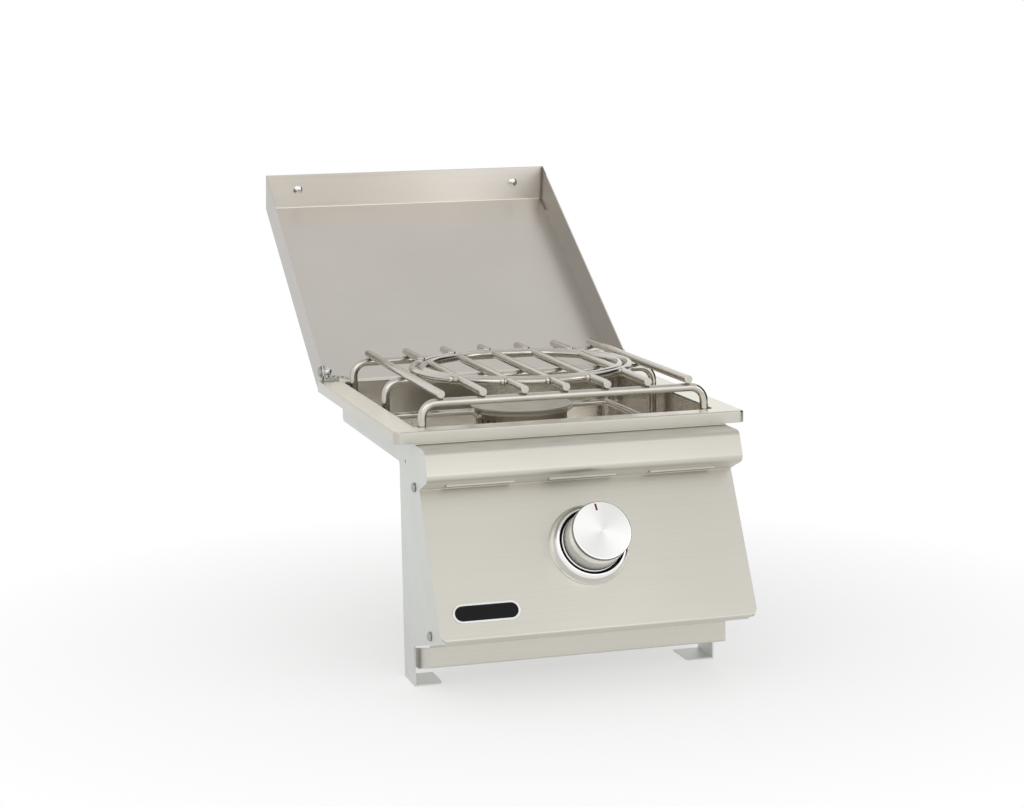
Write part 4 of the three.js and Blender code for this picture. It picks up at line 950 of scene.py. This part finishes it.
class SIDEBURNER_OT_knob(BurnerOperator, Operator):
    """Chromed knob with its pointer line, and the bezel round it"""

    bl_idname = "sideburner.knob"
    bl_label = "Knob"

    def execute(self, context):
        face = knurled_chrome("satin chromed knob", linear("f4f4f2"), KNOB)
        edged_copy("knob", face, 0.25 * MM)
        pointer = fired_enamel("red inlay", self.colours.pointer, 0.3)
        edged_copy("knob_indicator", pointer, 0.1 * MM)
        self.bezel()
        return {"FINISHED"}

    def bezel(self):
        """A polished ring round a cup whose inside is painted black as shade."""
        chrome = cup_chrome("polished chrome bezel with a painted shade cup", linear("f4f4f2"), KNOB, BEZEL_BORE)
        bm = bmesh.new()
        spun(bm, BEZEL_SECTION, KNOB)
        node = "knob_bezel"
        make_piece(node + "_turned", bm, body_of(node), chrome, [node])


class SIDEBURNER_OT_badge(BurnerOperator, Operator):
    """Bare badge: a black enamel plate in a bright frame"""

    bl_idname = "sideburner.badge"
    bl_label = "Badge"

    def execute(self, context):
        bright = polished_chrome("bright badge frame", linear("f4f4f2"))
        edged_copy("badge_frame", bright, 0.5 * MM)
        black = fired_enamel("black enamel", linear("080808"), sheen=0.2)
        edged_copy("badge_plate", black, 0.3 * MM)
        return {"FINISHED"}


class SIDEBURNER_OT_fittings(BurnerOperator, Operator):
    """Screws, hinge fittings, chain and match holder"""

    bl_idname = "sideburner.fittings"
    bl_label = "Fittings"

    def execute(self, context):
        width = self.sizes.edge_break
        zinc = zinc_plate("zinc plate", linear("a9aba8"))
        chrome = polished_chrome("chrome plate", linear("dededc"), 0.12)
        metals = {"zinc_steel": zinc, "chrome": chrome}
        pairs = {
            "side_screw_upper_": "zinc_steel", "side_screw_lower_": "zinc_steel",
            "hinge_bracket_": "zinc_steel", "pivot_bolt_": "zinc_steel", "pivot_nut_": "chrome",
            "handle_bolt_": "chrome", "valve_screw_": "zinc_steel",
        }
        for side in SIDES:
            for pair, slot in pairs.items():
                edged_copy(pair + side, metals[slot], width)
        for node in ("match_chain", "match_holder"):
            edged_copy(node, zinc, 0.2 * MM)
        edged_copy("chain_anchor", chrome, width)
        return {"FINISHED"}


class SIDEBURNER_OT_gas_parts(BurnerOperator, Operator):
    """Valve, orifice, mixing tube and supply pipe under the pan"""

    bl_idname = "sideburner.gas_parts"
    bl_label = "Gas parts"

    def execute(self, context):
        width = self.sizes.edge_break
        brass = turned_metal("machined brass", linear("c1a25f"), KNOB, 0.24)
        brass_nodes = (
            "valve_stem", "valve_plug", "gas_orifice", "gas_supply_pipe", "gas_inlet_fitting",
        )
        for node in brass_nodes:
            edged_copy(node, brass, width)
        casting = sand_casting("sand cast aluminium", linear("9b9c9d"))
        for node in ("valve_body", "valve_rear_cap"):
            edged_copy(node, casting, width)
        zinc = zinc_plate("zinc plated tube", linear("a5a7a5"))
        for node in ("mixing_tube", "air_shutter"):
            edged_copy(node, zinc, width)
        return {"FINISHED"}


# Studio, with places in metres

# Each lamp's name, place, size in metres and power in watts
LAMPS = (
    ("key softbox", (-1.6, -1.9, 1.7), 1.8, 9),
    ("fill softbox", (2.2, -1.6, 1.0), 1.4, 8),
    ("front softbox", (0.3, -3.2, 0.9), 2.4, 10),
)

# The floor fades to white between these two distances from its middle
FLOOR_FADE = (0.2, 0.7)
FLOOR_RADIUS = 6.0
FLOOR_GAP = 0.5 * MM

CARD_PLACE = (1.5, 0.1, 0.6)
CARD_HALF_SIZE = (0.8, 1.1)

# The photograph's view, found by fitting known points of the object. The angles are the azimuth,
# the elevation and the roll in degrees, and the lens and the sensor are in millimetres.
VIEW_PLACE = (-0.6498, -2.2571, 0.3681)
VIEW_ANGLES = (-15.87, 8.85, -1.05)
LENS = 83.16
SENSOR_WIDTH = 36


def seen(owner):
    """1 on rays that come from the camera, a mirror or glass, and 0 on those that carry light."""
    rays = add_node(owner, "LightPath").outputs
    mirrored = maths(owner, "MAXIMUM", rays["Is Camera Ray"], rays["Is Glossy Ray"])
    return maths(owner, "MAXIMUM", mirrored, rays["Is Transmission Ray"])


class SIDEBURNER_OT_stage(Operator):
    """Pale floor, soft lamps, white surroundings and the camera"""

    bl_idname = "sideburner.stage"
    bl_label = "Stage"

    def execute(self, context):
        self.floor()
        self.dark_card()
        self.surroundings(context.scene)
        self.lamps()
        self.camera(context.scene)
        context.scene.view_settings.view_transform = "Standard"
        return {"FINISHED"}

    def floor(self):
        bm = bmesh.new()
        under = Matrix.Translation((0, 0, CAD_BOX[0][2] - FLOOR_GAP))
        bmesh.ops.create_circle(bm, cap_ends=True, segments=96, radius=FLOOR_RADIUS, matrix=under)
        floor = new_object("floor", bm, self.paper())

    def paper(self):
        """White paper that keeps the shadow near the object and fades to white further out."""
        material = new_material("white paper")
        place = add_node(material, "TexCoord").outputs["Object"]
        far = add_node(material, "VectorMath", {0: place}, operation="LENGTH").outputs["Value"]
        fade = ranged(material, far, 0.45, 1.0, *FLOOR_FADE)
        base = add_node(material, "BsdfDiffuse", {"Color": (0.93, 0.93, 0.93, 1)})
        white = add_node(material, "Emission", {"Color": (1, 1, 1, 1), "Strength": 1.0})
        lift = product(material, seen(material), fade)
        mixed = add_node(
            material, "MixShader", {0: lift, 1: base.outputs[0], 2: white.outputs[0]}
        )
        add_node(material, "OutputMaterial", {"Surface": mixed.outputs[0]})
        return material

    def dark_card(self):
        """A dark card to the right, which gives round bright parts their dark side. It shows only
        in what they mirror."""
        card = new_material("dark card")
        matt = add_node(card, "BsdfDiffuse", {"Color": (0.05, 0.05, 0.05, 1)})
        add_node(card, "OutputMaterial", {"Surface": matt.outputs[0]})
        bm = bmesh.new()
        upright = Matrix.Translation(CARD_PLACE) @ Matrix.Rotation(math.pi / 2, 4, "Y")
        size = Matrix.Diagonal((*CARD_HALF_SIZE, 1, 1))
        bmesh.ops.create_grid(bm, x_segments=1, y_segments=1, size=1.0, matrix=upright @ size)
        piece = new_object("dark card", bm, card)
        piece.visible_camera = False

    def surroundings(self, scene):
        """A white room whose ceiling is a little greyer than its walls."""
        world = bpy.data.worlds.new("white room")
        scene.world = world
        world.use_nodes = True
        world.node_tree.nodes.clear()
        outwards = add_node(world, "TexCoord").outputs["Generated"]
        height = add_node(world, "SeparateXYZ", {0: outwards}).outputs[2]
        grey = ranged(world, height, 1.0, 0.72, 0.5, 0.95)
        soft = add_node(world, "Background", {"Color": (1, 1, 1, 1), "Strength": 0.78})
        white = add_node(world, "Background", {"Color": (1, 1, 1, 1), "Strength": grey})
        feeds = {0: seen(world), 1: soft.outputs[0], 2: white.outputs[0]}
        mixed = add_node(world, "MixShader", feeds)
        add_node(world, "OutputWorld", {"Surface": mixed.outputs[0]})

    def lamps(self):
        """Square softboxes that all point at the object's origin."""
        for name, place, size, power in LAMPS:
            data = bpy.data.lights.new(name, "AREA")
            data.shape = "SQUARE"
            data.size = size
            data.energy = power
            lamp = bpy.data.objects.new(name, data)
            bpy.context.scene.collection.objects.link(lamp)
            lamp.location = place
            lamp.rotation_euler = (-Vector(place)).to_track_quat("-Z", "Y").to_euler()

    def camera(self, scene):
        data = bpy.data.cameras.new("camera")
        data.sensor_width = SENSOR_WIDTH
        data.lens = LENS
        data.clip_end = 50
        camera = bpy.data.objects.new("camera", data)
        scene.collection.objects.link(camera)
        azimuth, elevation, roll = (math.radians(angle) for angle in VIEW_ANGLES)
        back = Vector((
            math.sin(azimuth) * math.cos(elevation),
            -math.cos(azimuth) * math.cos(elevation),
            math.sin(elevation),
        ))
        right = (-back).cross(Vector((0, 0, 1))).normalized()
        up = right.cross(-back)
        turned_right = math.cos(roll) * right + math.sin(roll) * up
        turned_up = -math.sin(roll) * right + math.cos(roll) * up
        matrix = Matrix((turned_right, turned_up, back)).transposed().to_4x4()
        matrix.translation = Vector(VIEW_PLACE)
        camera.matrix_world = matrix
        scene.camera = camera


class SIDEBURNER_PT_panel(Panel):
    """Settings and pieces of the side burner"""

    bl_idname = "SIDEBURNER_PT_panel"
    bl_label = "Side Burner"
    bl_space_type = "VIEW_3D"
    bl_region_type = "UI"
    bl_category = "Side Burner"

    def draw(self, context):
        layout = self.layout
        for group in (context.scene.side_burner_sizes, context.scene.side_burner_colours):
            column = layout.column()
            for name in group.__annotations__:
                column.prop(group, name)
        for piece in PIECES:
            layout.operator(piece.bl_idname)


PIECES = (
    SIDEBURNER_OT_sheet_metal,
    SIDEBURNER_OT_lid,
    SIDEBURNER_OT_grate,
    SIDEBURNER_OT_burner,
    SIDEBURNER_OT_knob,
    SIDEBURNER_OT_badge,
    SIDEBURNER_OT_fittings,
    SIDEBURNER_OT_gas_parts,
    SIDEBURNER_OT_stage,
)
CLASSES = (BurnerSizes, BurnerColours, *PIECES, SIDEBURNER_PT_panel)


def register():
    for cls in CLASSES:
        bpy.utils.register_class(cls)
    bpy.types.Scene.side_burner_sizes = PointerProperty(type=BurnerSizes)
    bpy.types.Scene.side_burner_colours = PointerProperty(type=BurnerColours)


def unregister():
    del bpy.types.Scene.side_burner_colours
    del bpy.types.Scene.side_burner_sizes
    for cls in reversed(CLASSES):
        bpy.utils.unregister_class(cls)


def main():
    register()
    for piece in PIECES:
        group, name = piece.bl_idname.split(".")
        getattr(getattr(bpy.ops, group), name)()


if __name__ == "__main__":
    main()
